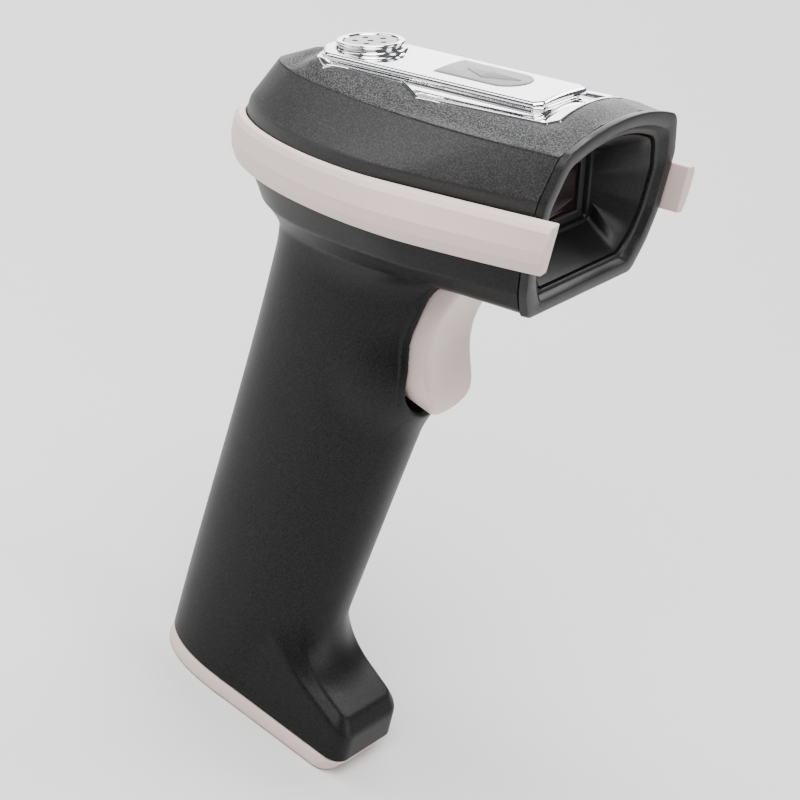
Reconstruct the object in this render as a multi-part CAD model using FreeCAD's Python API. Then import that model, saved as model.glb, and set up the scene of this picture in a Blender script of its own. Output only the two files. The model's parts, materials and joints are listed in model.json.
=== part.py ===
import FreeCAD, Part
import math
import os

# Handheld barcode scanner, millimetres. +X is the way the nose looks, +Z is up, +Y is the scanner's left.
# It stands on the flat underside of its foot. export() moves every shape along X by ROW_SHIFT, which
# puts the row's origin under the middle of the bounding box.
# The head is drawn in its own frame: x along the head, z square to the round buzzer in its top,
# zero at the middle of that buzzer. head() carries a shape from there to the drawing frame.

os.makedirs("parts", exist_ok=True)
V = FreeCAD.Vector

# ---- driving dimensions -------------------------------------------------------------------------
HEAD_TILT = 24.0                      # nose-up angle of the head when the foot is flat
BUZZER_AT = V(-25.5, 0.0, 160.0)      # middle of the buzzer in the drawing frame
ROW_SHIFT = V(2.256, 0.0, 0.0)        # from the drawing frame to the row frame
WALL = 2.0                            # moulded wall
FIT = 0.15                            # clearance between fixed neighbours
RUNNING = 0.35                        # clearance between moving neighbours

NOSE_TOP_X, NOSE_TOP_Z = 63.3, -13.2  # the nose face leans back towards its lower edge
NOSE_LEAN = 0.2745
BEZEL_FLANGE = 2.0

# head rings, top to bottom: half width at the nose, widest half width, where it is widest,
# rearmost x, height at the nose, height at the rear
CROWN_INNER = (8.0, 8.0, 30.0, -14.5, -9.35, -3.4)
CROWN_OUTER = (16.0, 15.0, 40.0, -19.0, -11.0, -4.9)
CREASE = (23.0, 22.8, 48.0, -23.8, -13.1, -6.5)
SHOULDER = (27.1, 28.4, 28.0, -31.2, -22.1, -15.4)
BAND_TOP = (26.8, 27.9, 20.0, -31.7, -25.3, -17.8)
PARTING = (26.9, 28.2, 22.0, -32.0, -30.5, -23.4)
BAND_LOW = (27.0, 28.6, 24.0, -32.0, -36.0, -29.0)
BELLY = (25.2, 26.4, 26.0, -28.5, -42.6, -36.4)
UNDERSIDE = (21.6, 20.5, 30.0, -19.0, -49.0, -42.2)
RING_FULLNESS = 1.65                  # exponent of the rings' rear quarter, 2 is an ellipse

BAND_OVERHANG = 4.3                   # the band's ends stand out past the nose face

# grip sections: height, centre x, half depth, half width
GRIP = [
    (4.5, 3.0, 19.7, 13.3),
    (28.0, 1.7, 20.6, 13.7),
    (60.0, -0.5, 21.5, 14.4),
    (84.0, -1.9, 22.4, 15.0),
    (105.0, -3.0, 23.5, 15.8),
    (134.0, -5.5, 25.5, 18.0),
]
GRIP_SQUARENESS = 2.25                # exponent of the grip's section, 2 is an ellipse

FOOT_RIM_H = 4.5                      # height of the base cap's outer rim
FOOT_PROUD = 0.2                      # the foot stands out this much past the grip's sides and rear
TOE_FRONT = 41.2
TOE_TOP_Z = 13.2                      # top of the toe at its front edge
TOE_SLOPE = 21.0
TOE_HEIGHT = 26.0                     # where the toe's side walls would end above its sloped top
BASE_FLOOR = 2.4
LIP_H = 3.5

TRIG_HALF_W = 9.2
TRIG_PIVOT = V(6.0, 0.0, 119.0)
TRIG_SWING = 5.0
TRIG_PIN_R = 1.25
TRIG_BOTTOM_Z = 92.4
TRIG_SWEEP = 2.0                      # room under the trigger for its swing

SWITCH_Z = 106.0
SPRING_Z = 98.0
SWITCH_BOARD_X = -6.0
PLUNGER_TIP_X = 1.6
SPRING_END_X = 7.0

CELL_R, CELL_L = 9.1, 65.0            # 18650 cell

PLATE_REAR, PLATE_FRONT, PLATE_HALF_W = -8.5, 49.4, 10.3
TRIM_PITCH = 4.8
TRIM_TOP_Z = -2.2                     # top of the trim plate under the buzzer
TRAY_REAR, TRAY_FRONT, TRAY_HALF_W = -13.2, 55.0, 15.0
TRAY_WAIST_HALF_W = 11.2
TRAY_DEPTH = 3.6
LENS_REAR = 20.2                      # rear edge of the indicator lens
BUZZER_RING_R, BUZZER_DISC_R = 7.6, 5.8

WINDOW_X = 45.0
WINDOW_HALF_W, WINDOW_HALF_H = 14.5, 6.6
WINDOW_Z = -29.2

BOARD_Z = -16.5                       # underside of the main board under the buzzer
BOARD_SCREWS = ((-9.0, 9.5), (-9.0, -9.5), (38.0, 14.4), (38.0, -14.4))
COVER_BOSS_R = 2.2
ENGINE_Z = -25.9                      # optical axis height under the buzzer
ENGINE_FRONT = 39.0
ENGINE_HALF_W, ENGINE_HALF_H, ENGINE_DEPTH = 11.0, 6.2, 12.5
COVER_SCREW_X = (6.0, 44.0)           # side screws under the soft band
COVER_SCREW_DROP = 3.2

BASE_SCREW_X = (-9.5, 30.5)
PORT_X = 8.0                          # middle of the charging socket in the foot


# ---- small helpers -------------------------------------------------------------------------------
def box(x0, x1, y0, y1, z0, z1):
    return Part.makeBox(x1 - x0, y1 - y0, z1 - z0, V(x0, y0, z0))


def rod(start, end, radius):
    along = end.sub(start)
    return Part.makeCylinder(radius, along.Length, start, along)


def fuse_all(shapes):
    whole = shapes[0]
    for shape in shapes[1:]:
        whole = whole.fuse(shape)
    return whole


def cut_all(shape, tools):
    for tool in tools:
        shape = shape.cut(tool)
    return shape


def head(shape):
    placed = shape.copy()
    placed.rotate(V(0, 0, 0), V(0, 1, 0), -HEAD_TILT)
    placed.translate(BUZZER_AT)
    return placed


def pitched(shape, z):
    """A shape drawn level about the origin, pitched nose-down with the trim and set at a height in the head."""
    placed = shape.copy()
    placed.rotate(V(0, 0, 0), V(0, 1, 0), TRIM_PITCH)
    placed.translate(V(0, 0, z))
    return placed


def nose_x(z):
    return NOSE_TOP_X + NOSE_LEAN * (z - NOSE_TOP_Z)


def export(name, shape):
    placed = shape.copy()
    placed.translate(ROW_SHIFT)
    placed.exportStep("parts/%s.step" % name)


# ---- head outlines -------------------------------------------------------------------------------
def head_ring(ring, grow=0.0, raise_by=0.0, nose_grow=0.0):
    """Closed plan outline of the head: round at the rear, gently bowed sides, straight across the nose."""
    nose_w, wide_w, wide_x, rear, nose_z, rear_z = ring
    nose_w, wide_w, rear = nose_w + grow, wide_w + grow, rear - grow
    front = nose_x(nose_z + raise_by) + nose_grow

    def height(x):
        share = (front - x) / (front - rear)
        return raise_by + nose_z + (rear_z - nose_z) * share

    side = []
    power = 2.0 / RING_FULLNESS
    for step in range(11):
        angle = math.radians(90.0 * step / 10)
        x = wide_x - (wide_x - rear) * abs(math.cos(angle)) ** power
        side.append(V(x, wide_w * math.sin(angle) ** power, height(x)))
    for part in (0.33, 0.67, 1.0):
        x = wide_x + (front - wide_x) * part
        side.append(V(x, wide_w - (wide_w - nose_w) * part ** 2, height(x)))
    left = list(reversed(side))
    right = [V(p.x, -p.y, p.z) for p in side[1:]]
    curve = Part.BSplineCurve()
    curve.interpolate(left + right)
    nose = Part.LineSegment(right[-1], left[0])
    return Part.Wire([curve.toShape(), nose.toShape()])


def head_body(rings, grow=0.0, raise_by=0.0, nose_grow=0.0):
    wires = [head_ring(ring, grow, raise_by, nose_grow) for ring in rings]
    return Part.makeLoft(wires, True, True)


def beyond_nose(setback):
    """Everything in front of a plane parallel to the nose face and set back from it."""
    lean = math.degrees(math.atan(NOSE_LEAN))
    block = box(0, 60, -60, 60, -90, 60)
    block.rotate(V(0, 0, 0), V(0, 1, 0), lean)
    block.translate(V(NOSE_TOP_X - setback, 0, NOSE_TOP_Z))
    return block


def nose_outline(inset, setback, top_crown=4.0):
    """Rounded mouth outline parallel to the nose face: arched top, bowed sides, narrower foot."""
    def at(z, y):
        return V(nose_x(z) - setback, y, z)

    top, low = -13.6 - inset, -48.6 + inset
    top_w, mid_w, low_w = 22.8 - inset, 26.9 - inset * 1.05, 19.6 - inset * 0.85
    corners = [at(top, top_w), at(-33.0, mid_w), at(low, low_w)]
    crown = at(top + top_crown, 0)
    upper = Part.Arc(V(corners[0].x, -top_w, top), crown, corners[0]).toShape()
    sides = []
    for sign in (1, -1):
        points = [V(p.x, sign * p.y, p.z) for p in corners]
        sides.append(Part.LineSegment(points[0], points[1]).toShape())
        sides.append(Part.LineSegment(points[1], points[2]).toShape())
    foot = Part.LineSegment(at(low, low_w), at(low, -low_w)).toShape()
    return Part.Wire(Part.__sortEdges__([upper, foot] + sides))


HEAD_ALL = [CROWN_INNER, CROWN_OUTER, CREASE, SHOULDER, BAND_TOP, PARTING, BAND_LOW, BELLY, UNDERSIDE]
COVER_RINGS = HEAD_ALL[:6]
LOWER_RINGS = HEAD_ALL[5:]


# ---- head shells and trim ------------------------------------------------------------------------
def tray_outline(grow, x_shift=0.0):
    """Plan of the trim recess: narrow beside the buzzer, wider from the step forward, chamfered ends."""
    w, n = TRAY_HALF_W + grow, TRAY_WAIST_HALF_W + grow
    rear, front = TRAY_REAR - grow, TRAY_FRONT + grow
    side = [(rear, n * 0.45), (rear + 3.5, n), (14.5, n), (19.5, w), (front - 2.2, w), (front, w - 2.2)]
    loop = side + [(x, -y) for x, y in reversed(side)]
    points = [V(x + x_shift, y, 0) for x, y in loop]
    return Part.makePolygon(points + [points[0]])


def tray_block(grow, top, bottom):
    face = Part.Face(tray_outline(grow))
    block = face.extrude(V(0, 0, top - bottom))
    block.translate(V(0, 0, bottom))
    return pitched(block, TRIM_TOP_Z)


def half_width(ring, x):
    """Half width of a head ring at x."""
    nose_w, wide_w, wide_x, rear, nose_z, _ = ring
    if x < wide_x:
        return wide_w * (1 - ((wide_x - x) / (wide_x - rear)) ** RING_FULLNESS) ** (1 / RING_FULLNESS)
    return wide_w - (wide_w - nose_w) * ((x - wide_x) / (nose_x(nose_z) - wide_x)) ** 2


def parting_height(x):
    nose_z, rear_z, rear = PARTING[4], PARTING[5], PARTING[3]
    share = (nose_x(nose_z) - x) / (nose_x(nose_z) - rear)
    return nose_z + (rear_z - nose_z) * share


def cover_screw_seats():
    """Outer end and inward direction of each side screw."""
    seats = []
    for x in COVER_SCREW_X:
        for sign in (1, -1):
            y = half_width(PARTING, x) - 1.6
            seats.append((V(x, sign * y, parting_height(x) - COVER_SCREW_DROP), V(0, -sign, 0)))
    return seats


def cover_tabs():
    """Tongues that hang inside the lower shell's side walls and take the side screws."""
    tabs = []
    for x in COVER_SCREW_X:
        wall = min(half_width(PARTING, x - 3.5), half_width(PARTING, x + 3.5)) - WALL
        split = parting_height(x)
        for sign in (1, -1):
            low, high = sorted((sign * (wall - 3.6), sign * (wall + 0.8)))
            tabs.append(box(x - 3.5, x + 3.5, low, high, split + 0.4, split + 6.0))
            low, high = sorted((sign * (wall - 3.6), sign * (wall - 1.2)))
            tabs.append(box(x - 3.5, x + 3.5, low, high, split - 6.0, split + 1.0))
    return tabs


def cover_bosses(outer):
    """Posts that take the board's screws, cut off inside the cover's own skin."""
    bosses = []
    for x, y in BOARD_SCREWS:
        post = rod(V(x, y, 1.7), V(x, y, TRIM_TOP_Z - TRAY_DEPTH - 0.4 - BOARD_Z), COVER_BOSS_R)
        bosses.append(pitched(post, BOARD_Z).common(outer))
    return bosses


def top_cover():
    outer = head_body(COVER_RINGS)
    front = beyond_nose(BEZEL_FLANGE + 0.05)
    skin = outer.cut(head_body(COVER_RINGS, -WALL, -WALL, 5.0)).cut(front)
    pocket = tray_block(1.8, -1.6, -TRAY_DEPTH - 1.7).common(outer).cut(front)
    shell = skin.fuse(pocket).cut(tray_block(FIT, 12.0, -TRAY_DEPTH - 0.05))
    shell = fuse_all([shell] + cover_bosses(outer) + cover_tabs())
    openings = [
        rod(V(0, 0, 2), V(0, 0, -12), BUZZER_DISC_R + 0.3),
        pitched(box(LENS_REAR + 3.5, LENS_REAR + 18.5, -3.8, 3.8, -12, 2), TRIM_TOP_Z),
    ]
    openings += [pitched(rod(V(x, y, 0), V(x, y, 8.2), 1.0), BOARD_Z) for x, y in BOARD_SCREWS]
    openings += [rod(at.sub(inward * 3), at.add(inward * 9), 0.95) for at, inward in cover_screw_seats()]
    return cut_all(shell, openings)


def bumper_band():
    """The soft band round the head, open at the nose, with three flats down its outer face."""
    outer_rings = [
        (29.6, 30.0, 22.0, -34.0, -25.6, -17.9),
        (30.4, 31.0, 24.0, -35.1, -27.0, -19.2),
        (30.6, 32.2, 27.0, -36.2, -31.2, -23.4),
        (30.4, 32.1, 28.0, -36.1, -33.8, -26.0),
        (29.6, 31.4, 29.0, -35.3, -36.4, -28.5),
    ]
    outer = head_body(outer_rings, 0.0, 0.0, BAND_OVERHANG)
    above_band = SHOULDER[:4] + (SHOULDER[4] + 1, SHOULDER[5] + 1)
    inner_rings = [above_band, BAND_TOP, PARTING, BAND_LOW, BELLY]
    inner = head_body(inner_rings, FIT, 0.0, 12.0)
    return outer.cut(inner)


def nose_bezel():
    slab = head_body(HEAD_ALL, -0.25, 0.0, 0.0).common(beyond_nose(BEZEL_FLANGE))
    mouth = Part.makeLoft([nose_outline(3.2, -0.5), nose_outline(5.1, 2.6)], True, True)
    spigot = Part.makeLoft([nose_outline(3.0, BEZEL_FLANGE - 0.2), nose_outline(3.0, 5.5)], True, True)
    through = Part.makeLoft([nose_outline(4.9, 1.5), nose_outline(4.9, 8.0)], True, True)
    return slab.fuse(spigot).cut(mouth).cut(through).removeSplitter()


def window_outline(half_w, half_h, x):
    """Rectangle square to the optical axis, with the same edges as the mouth outline."""
    slope = math.tan(math.radians(TRIM_PITCH))
    axis_z = WINDOW_Z - (x - WINDOW_X) * slope

    def at(dz, y):
        return V(x + dz * slope, y, axis_z + dz)

    left = [at(half_h, half_w), at(0, half_w), at(-half_h, half_w)]
    right = [V(p.x, -p.y, p.z) for p in left]
    edges = [(right[0], left[0]), (right[2], left[2])]
    edges += [(side[i], side[i + 1]) for side in (left, right) for i in (0, 1)]
    return Part.Wire(Part.__sortEdges__([Part.LineSegment(a, b).toShape() for a, b in edges]))


def window_slab(half_w, half_h, x, thick):
    axis = V(math.cos(math.radians(TRIM_PITCH)), 0, -math.sin(math.radians(TRIM_PITCH)))
    return Part.Face(window_outline(half_w, half_h, x)).extrude(axis * thick)


def funnel(mouth_inset, mouth_setback, wall, x):
    mouth = nose_outline(mouth_inset, mouth_setback)
    window = window_outline(WINDOW_HALF_W + wall, WINDOW_HALF_H + wall, x)
    return Part.makeLoft([mouth, window], True, True)


def window_shroud():
    """The matt funnel behind the bezel: wide at the mouth, narrowing to the scan window."""
    outer = funnel(5.3, 2.4, 1.2, WINDOW_X - 2.6)
    inner = funnel(6.4, 2.2, -0.8, WINDOW_X + 0.1)
    throat = window_slab(WINDOW_HALF_W - 0.8, WINDOW_HALF_H - 0.8, WINDOW_X - 4, 6)
    seat = window_slab(WINDOW_HALF_W + 0.2, WINDOW_HALF_H + 0.2, WINDOW_X - 4, 4.0)
    return outer.cut(inner).cut(throat).cut(seat)


def scan_window():
    return window_slab(WINDOW_HALF_W, WINDOW_HALF_H, WINDOW_X - 2.1, 1.5)


def window_gasket():
    ring = window_slab(WINDOW_HALF_W, WINDOW_HALF_H, WINDOW_X - 0.55, 0.5)
    return ring.cut(window_slab(WINDOW_HALF_W - 1.2, WINDOW_HALF_H - 1.2, WINDOW_X - 2, 4))


def trim_tray():
    """Bright dished tray let into the top of the head; the plate stands in it."""
    block = tray_block(0.0, -0.9, -TRAY_DEPTH)
    dish = tray_block(-1.3, 1.0, -TRAY_DEPTH + 0.9)
    tray = block.cut(dish).common(head_body(HEAD_ALL, 0.0, 0.25, 2.0))
    tray = tray.cut(rod(V(0, 0, 2), V(0, 0, -12), BUZZER_DISC_R + 0.3))
    return tray.cut(pitched(box(LENS_REAR + 3.0, LENS_REAR + 19.0, -4, 4, -9, 2), TRIM_TOP_Z))


def plate_outline(grow):
    w, rear, front = PLATE_HALF_W + grow, PLATE_REAR - grow, PLATE_FRONT + grow
    side = [(rear, w * 0.55), (rear + 3.5, w), (front - 1.6, w), (front, w - 1.6)]
    loop = side + [(x, -y) for x, y in reversed(side)]
    points = [V(x, y, 0) for x, y in loop]
    return Part.makePolygon(points + [points[0]])


def trim_plate():
    """Polished plate with a waist under its rim; it carries the lens and the buzzer ring."""
    rim = Part.Face(plate_outline(0.0)).extrude(V(0, 0, -1.3))
    waist = Part.Face(plate_outline(-0.9)).extrude(V(0, 0, -TRAY_DEPTH + 1.05))
    plate = rim.fuse(waist).removeSplitter()
    plate = pitched(plate, TRIM_TOP_Z)
    plate = plate.cut(rod(V(0, 0, 2), V(0, 0, -12), BUZZER_DISC_R + 0.3))
    return plate.cut(pitched(lens_block(FIT, 1.0, -6.0), TRIM_TOP_Z))


def lens_block(grow, top, bottom):
    """Bullet-shaped indicator outline: square at the rear, round towards the nose."""
    rear, mid, half = LENS_REAR - grow, LENS_REAR + 15.0, 6.4 + grow
    a, b, c, d = V(rear, half, 0), V(mid, half, 0), V(mid, -half, 0), V(rear, -half, 0)
    tip = V(mid + half * 0.85, 0, 0)
    edges = [Part.LineSegment(a, b), Part.Arc(b, tip, c), Part.LineSegment(c, d), Part.LineSegment(d, a)]
    face = Part.Face(Part.Wire([e.toShape() for e in edges]))
    block = face.extrude(V(0, 0, top - bottom))
    block.translate(V(0, 0, bottom))
    return block


def indicator_lens():
    corners = [(4.5, 0), (10.5, 3.4), (18.5, 0), (10.5, -3.4), (4.5, 0)]
    kite = Part.makePolygon([V(LENS_REAR + x, y, 0) for x, y in corners])
    raised = Part.Face(kite).extrude(V(0, 0, 0.35))
    return pitched(lens_block(0.0, 0.15, -1.6).fuse(raised.translated(V(0, 0, 0.1))), TRIM_TOP_Z)


def light_guide():
    return pitched(box(LENS_REAR + 4.2, LENS_REAR + 17.8, -3.2, 3.2, -11.0, -1.8), TRIM_TOP_Z)


def buzzer_ring():
    """Stepped bright ring round the buzzer grille."""
    steps = [(BUZZER_RING_R, 0.0, -0.9), (BUZZER_RING_R - 0.8, -0.9, -1.6), (BUZZER_RING_R + 0.6, -1.6, -2.15)]
    solids = [rod(V(0, 0, low), V(0, 0, top), radius) for radius, top, low in steps]
    ring = fuse_all(solids).cut(rod(V(0, 0, 1), V(0, 0, -6), BUZZER_DISC_R + FIT))
    above_plate = pitched(box(-30, 40, -20, 20, 0.05, 10), TRIM_TOP_Z)
    return ring.common(above_plate)


def buzzer_grille():
    disc = rod(V(0, 0, -1.2), V(0, 0, -0.1), BUZZER_DISC_R)
    holes = [rod(V(0, 0, 1), V(0, 0, -4), 0.55)]
    for step in range(5):
        angle = math.radians(72 * step)
        x, y = 3.2 * math.cos(angle), 3.2 * math.sin(angle)
        holes.append(rod(V(x, y, 1), V(x, y, -4), 0.55))
    return cut_all(disc, holes)


def buzzer():
    can = rod(V(0, 0, -6.6), V(0, 0, -1.4), BUZZER_DISC_R - 0.1)
    return can.cut(rod(V(0, 0, -3.0), V(0, 0, 0), 1.0))


# ---- lower shell, grip and foot ------------------------------------------------------------------
def grip_section(z, centre, depth, width):
    count = 24
    power = 2.0 / GRIP_SQUARENESS
    points = []
    for step in range(count):
        angle = 2 * math.pi * step / count
        c, s = math.cos(angle), math.sin(angle)
        x = centre + depth * math.copysign(abs(c) ** power, c)
        y = width * math.copysign(abs(s) ** power, s)
        points.append(V(x, y, z))
    curve = Part.BSplineCurve()
    curve.interpolate(points, PeriodicFlag=True)
    return Part.Wire([curve.toShape()])


def grip_body(inset=0.0, low=None):
    rows = [(z, cx, depth - inset, width - inset) for z, cx, depth, width in GRIP]
    if low is not None:
        rows[0] = (low,) + rows[0][1:]
    return Part.makeLoft([grip_section(*row) for row in rows], True, False)


def foot_outline(z, inset=0.0):
    """Plan of the foot: the grip's round rear carried forward into a toe that narrows as it rises."""
    rise = max(z - FOOT_RIM_H, -3.0) / (TOE_HEIGHT - FOOT_RIM_H)
    rear_c, depth, corner_r = GRIP[0][1], GRIP[0][2] + FOOT_PROUD - inset, 3.6
    side, nose = GRIP[0][3] + FOOT_PROUD - 0.9 * rise - inset, 12.2 - 3.6 * rise - inset
    front = TOE_FRONT - 3.0 * rise - inset
    k = corner_r * 0.293
    ellipse = Part.Ellipse(V(rear_c, 0, z), depth, side)
    rear = Part.ArcOfEllipse(ellipse, math.pi / 2, 3 * math.pi / 2)

    def half(sign):
        a, b = V(rear_c, sign * side, z), V(front - corner_r, sign * nose, z)
        mid, c = V(front - k, sign * (nose - k), z), V(front, sign * (nose - corner_r), z)
        return Part.LineSegment(a, b), Part.Arc(b, mid, c), c

    line_l, arc_l, end_l = half(1)
    line_r, arc_r, end_r = half(-1)
    tip = Part.Arc(end_l, V(front + 0.5, 0, z), end_r)
    return Part.Wire(Part.__sortEdges__([e.toShape() for e in (rear, line_l, arc_l, tip, arc_r, line_r)]))


def toe_body(inset=0.0, low=FOOT_RIM_H):
    block = Part.makeLoft([foot_outline(low, inset), foot_outline(TOE_HEIGHT, inset)], True, True)
    over = box(-60, 60, -30, 30, 0, 60)
    over.rotate(V(0, 0, 0), V(0, 1, 0), TOE_SLOPE)
    over.translate(V(TOE_FRONT, 0, TOE_TOP_Z - inset))
    return block.cut(over)


def head_belly(inset=0.0):
    """Lower half of the head; the inset one is raised as well and runs out past the nose."""
    return head(head_body(LOWER_RINGS, -inset, inset, 5.0 if inset else 0.0))


def u_prism(half_w, bottom, x0, x1):
    """Upright U seen from the front: straight sides, half-round foot."""
    centre = bottom + half_w
    return rod(V(x0, 0, centre), V(x1, 0, centre), half_w).fuse(box(x0, x1, -half_w, half_w, centre, 140))


def under_head(gap):
    """Everything lower than the head's underside, less a gap."""
    return head(box(-90, 120, -60, 60, -200, UNDERSIDE[4] - gap))


def trigger_slot():
    slot = u_prism(TRIG_HALF_W + RUNNING, TRIG_BOTTOM_Z - TRIG_SWEEP, 4.0, 60.0)
    return slot.common(under_head(0.05))


def body_shell():
    """Lower half of the head and the grip in one moulding, open above, at the nose, trigger and foot."""
    outer = grip_body().fuse(toe_body()).fuse(head_belly())
    hollow_grip = grip_body(WALL, FOOT_RIM_H - 3)
    hollow = hollow_grip.fuse(toe_body(WALL, FOOT_RIM_H - 3)).fuse(head_belly(WALL))
    above = head(head_body([(45, 45, 26, -50, 30, 30), PARTING], 4.0, 0.0, 12.0))
    shell = outer.cut(hollow).cut(above).cut(head(beyond_nose(BEZEL_FLANGE + 0.05)))
    shell = shell.cut(trigger_slot())
    ribs = []
    for y in (1, -1):
        ribs.append(rod(V(TRIG_PIVOT.x, y * (TRIG_HALF_W + RUNNING), TRIG_PIVOT.z),
                        V(TRIG_PIVOT.x, y * 14.0, TRIG_PIVOT.z), 3.2))
        low, high = sorted((y * 9.6, y * 14.0))
        ribs.append(box(SWITCH_BOARD_X - 2.6, SWITCH_BOARD_X + 2.6, low, high, 94, 114))
    for x in BASE_SCREW_X:
        ribs.append(rod(V(x, 0, FOOT_RIM_H + 0.6), V(x, 0, 15), 3.0))
        ribs.append(box(x - 0.8, x + 0.8, -12.2, 12.2, FOOT_RIM_H + 4.2, 13.5))
    shell = fuse_all([shell] + [rib.common(outer) for rib in ribs])
    pin = rod(V(TRIG_PIVOT.x, -12.6, TRIG_PIVOT.z), V(TRIG_PIVOT.x, 12.6, TRIG_PIVOT.z), TRIG_PIN_R + 0.02)
    slot = box(SWITCH_BOARD_X - 0.9, SWITCH_BOARD_X + 0.9, -11.2, 11.2, 90, 120)
    shell = shell.cut(pin).cut(slot)
    for x in BASE_SCREW_X:
        shell = shell.cut(rod(V(x, 0, 0), V(x, 0, 12.5), 1.05))
    for at, inward in cover_screw_seats():
        shell = shell.cut(head(rod(at.sub(inward * 4), at.add(inward * 0.05), 1.85)))
        shell = shell.cut(head(rod(at, at.add(inward * 4), 1.0)))
    return shell


def base_cap():
    """Foot cap: the pale rim and floor, with a lip that locates inside the shell."""
    rim_rows = [foot_outline(0.0, 0.8), foot_outline(0.8, 0.0), foot_outline(FOOT_RIM_H - 0.05, 0.0)]
    rim = Part.makeLoft(rim_rows, True, True)
    lip_rows = [foot_outline(z, WALL + FIT) for z in (FOOT_RIM_H - 0.5, FOOT_RIM_H + LIP_H)]
    lip_out = Part.makeLoft(lip_rows, True, True)
    hollow = Part.Face(foot_outline(BASE_FLOOR, WALL + FIT + 1.9)).extrude(V(0, 0, 20))
    cap = rim.fuse(lip_out).cut(hollow)
    for x in BASE_SCREW_X:
        cap = cap.fuse(rod(V(x, 0, 1.0), V(x, 0, FOOT_RIM_H + 0.4), 3.2))
        cap = cap.cut(rod(V(x, 0, -1), V(x, 0, 20), 1.3)).cut(rod(V(x, 0, -1), V(x, 0, 2.0), 2.3))
    return cap.cut(box(PORT_X - 1.75, PORT_X + 1.75, -4.7, 4.7, -1, 6))


def charge_port():
    shell = box(PORT_X - 1.6, PORT_X + 1.6, -4.5, 4.5, 1.0, 8.3)
    cavity = box(PORT_X - 1.3, PORT_X + 1.3, -4.2, 4.2, 0.5, 7.3)
    tongue = box(PORT_X - 0.35, PORT_X + 0.35, -3.3, 3.3, 2.0, 7.5)
    return shell.cut(cavity).fuse(tongue)


def charge_board():
    return box(PORT_X - 8.0, PORT_X + 12.0, -8.0, 8.0, 8.4, 10.0)


def screw(at, direction, length, radius=1.0, head_r=1.9, head_h=1.3):
    shank = rod(at, at.add(direction * length), radius)
    cap = rod(at, at.sub(direction * head_h), head_r)
    socket = rod(at.sub(direction * head_h), at.sub(direction * (head_h - 0.6)), 0.7)
    return shank.fuse(cap).cut(socket)


def base_screws():
    return Part.Compound([screw(V(x, 0, 2.0), V(0, 0, 1), 9.0) for x in BASE_SCREW_X])


# ---- trigger group -------------------------------------------------------------------------------
def trigger():
    """Finger lever: scooped front face, rounded lower lip, hinge boss at the top rear."""
    front = [V(21.2, 0, 130.0), V(19.4, 0, 118.0), V(19.4, 0, 110.0), V(21.6, 0, 102.5), V(24.9, 0, 96.6)]
    curve = Part.BSplineCurve()
    curve.interpolate(front)
    rear_x = 10.0
    low_rear, high_rear = V(rear_x, 0, TRIG_BOTTOM_Z), V(rear_x, 0, 130.0)
    lip = Part.Arc(front[-1], V(25.4, 0, 94.2), V(23.2, 0, TRIG_BOTTOM_Z))
    sides = [(V(23.2, 0, TRIG_BOTTOM_Z), low_rear), (low_rear, high_rear), (high_rear, front[0])]
    wire = Part.Wire([curve.toShape(), lip.toShape()] + [Part.LineSegment(a, b).toShape() for a, b in sides])
    lever = Part.Face(wire).extrude(V(0, 2 * TRIG_HALF_W, 0)).translated(V(0, -TRIG_HALF_W, 0))
    outline = u_prism(TRIG_HALF_W, TRIG_BOTTOM_Z, 0, 40).common(under_head(0.7))
    core = u_prism(TRIG_HALF_W - 2.0, TRIG_BOTTOM_Z + 2.0, 0, 17.0).common(under_head(2.7))
    lever = lever.common(outline).cut(core)
    pivot, half = TRIG_PIVOT, TRIG_HALF_W
    arms = [box(pivot.x, rear_x + 3, y - 1, y + 1, pivot.z - 3.0, pivot.z + 2.0) for y in (half - 1, 1 - half)]
    boss = rod(V(pivot.x, -half, pivot.z), V(pivot.x, half, pivot.z), 2.8)
    web = box(rear_x, 19.0, -1.4, 1.4, TRIG_BOTTOM_Z + 1.0, 120.0)
    nub = box(PLUNGER_TIP_X + 0.3, 13.0, -1.4, 1.4, SWITCH_Z - 1.5, SWITCH_Z + 1.5)
    spigot = rod(V(SPRING_END_X, 0, SPRING_Z), V(14.0, 0, SPRING_Z), 2.6)
    solid = fuse_all([lever, boss, web.common(outline), nub, spigot] + arms)
    hole = rod(V(pivot.x, -20, pivot.z), V(pivot.x, 20, pivot.z), TRIG_PIN_R + 0.06)
    return solid.cut(hole)


def trigger_pin():
    return rod(V(TRIG_PIVOT.x, -12.5, TRIG_PIVOT.z), V(TRIG_PIVOT.x, 12.5, TRIG_PIVOT.z), TRIG_PIN_R)


def trigger_spring():
    """Compression spring between the board and the lever."""
    start, end = SWITCH_BOARD_X + 0.95, SPRING_END_X - 0.15
    wire_r, coil_r, turns = 0.3, 1.9, 6.0
    length = end - start - 2 * wire_r
    helix = Part.makeHelix(length / turns, length, coil_r)
    profile = Part.Wire([Part.Circle(V(coil_r, 0, 0), V(0, 1, 0), wire_r).toShape()])
    coil = Part.Wire(helix.Edges).makePipeShell([profile], True, True)
    coil.rotate(V(0, 0, 0), V(0, 1, 0), 90)
    coil.translate(V(start + wire_r, 0, SPRING_Z))
    return coil


def switch_board():
    return box(SWITCH_BOARD_X - 0.8, SWITCH_BOARD_X + 0.8, -11.0, 11.0, 94.6, 113.4)


def trigger_switch():
    body = box(SWITCH_BOARD_X + 0.9, SWITCH_BOARD_X + 4.9, -3.0, 3.0, SWITCH_Z - 3.0, SWITCH_Z + 3.0)
    bore = rod(V(SWITCH_BOARD_X + 1.6, 0, SWITCH_Z), V(20, 0, SWITCH_Z), 1.55)
    return body.cut(bore)


def switch_plunger():
    return rod(V(SWITCH_BOARD_X + 3.2, 0, SWITCH_Z), V(PLUNGER_TIP_X, 0, SWITCH_Z), 1.5)


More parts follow.
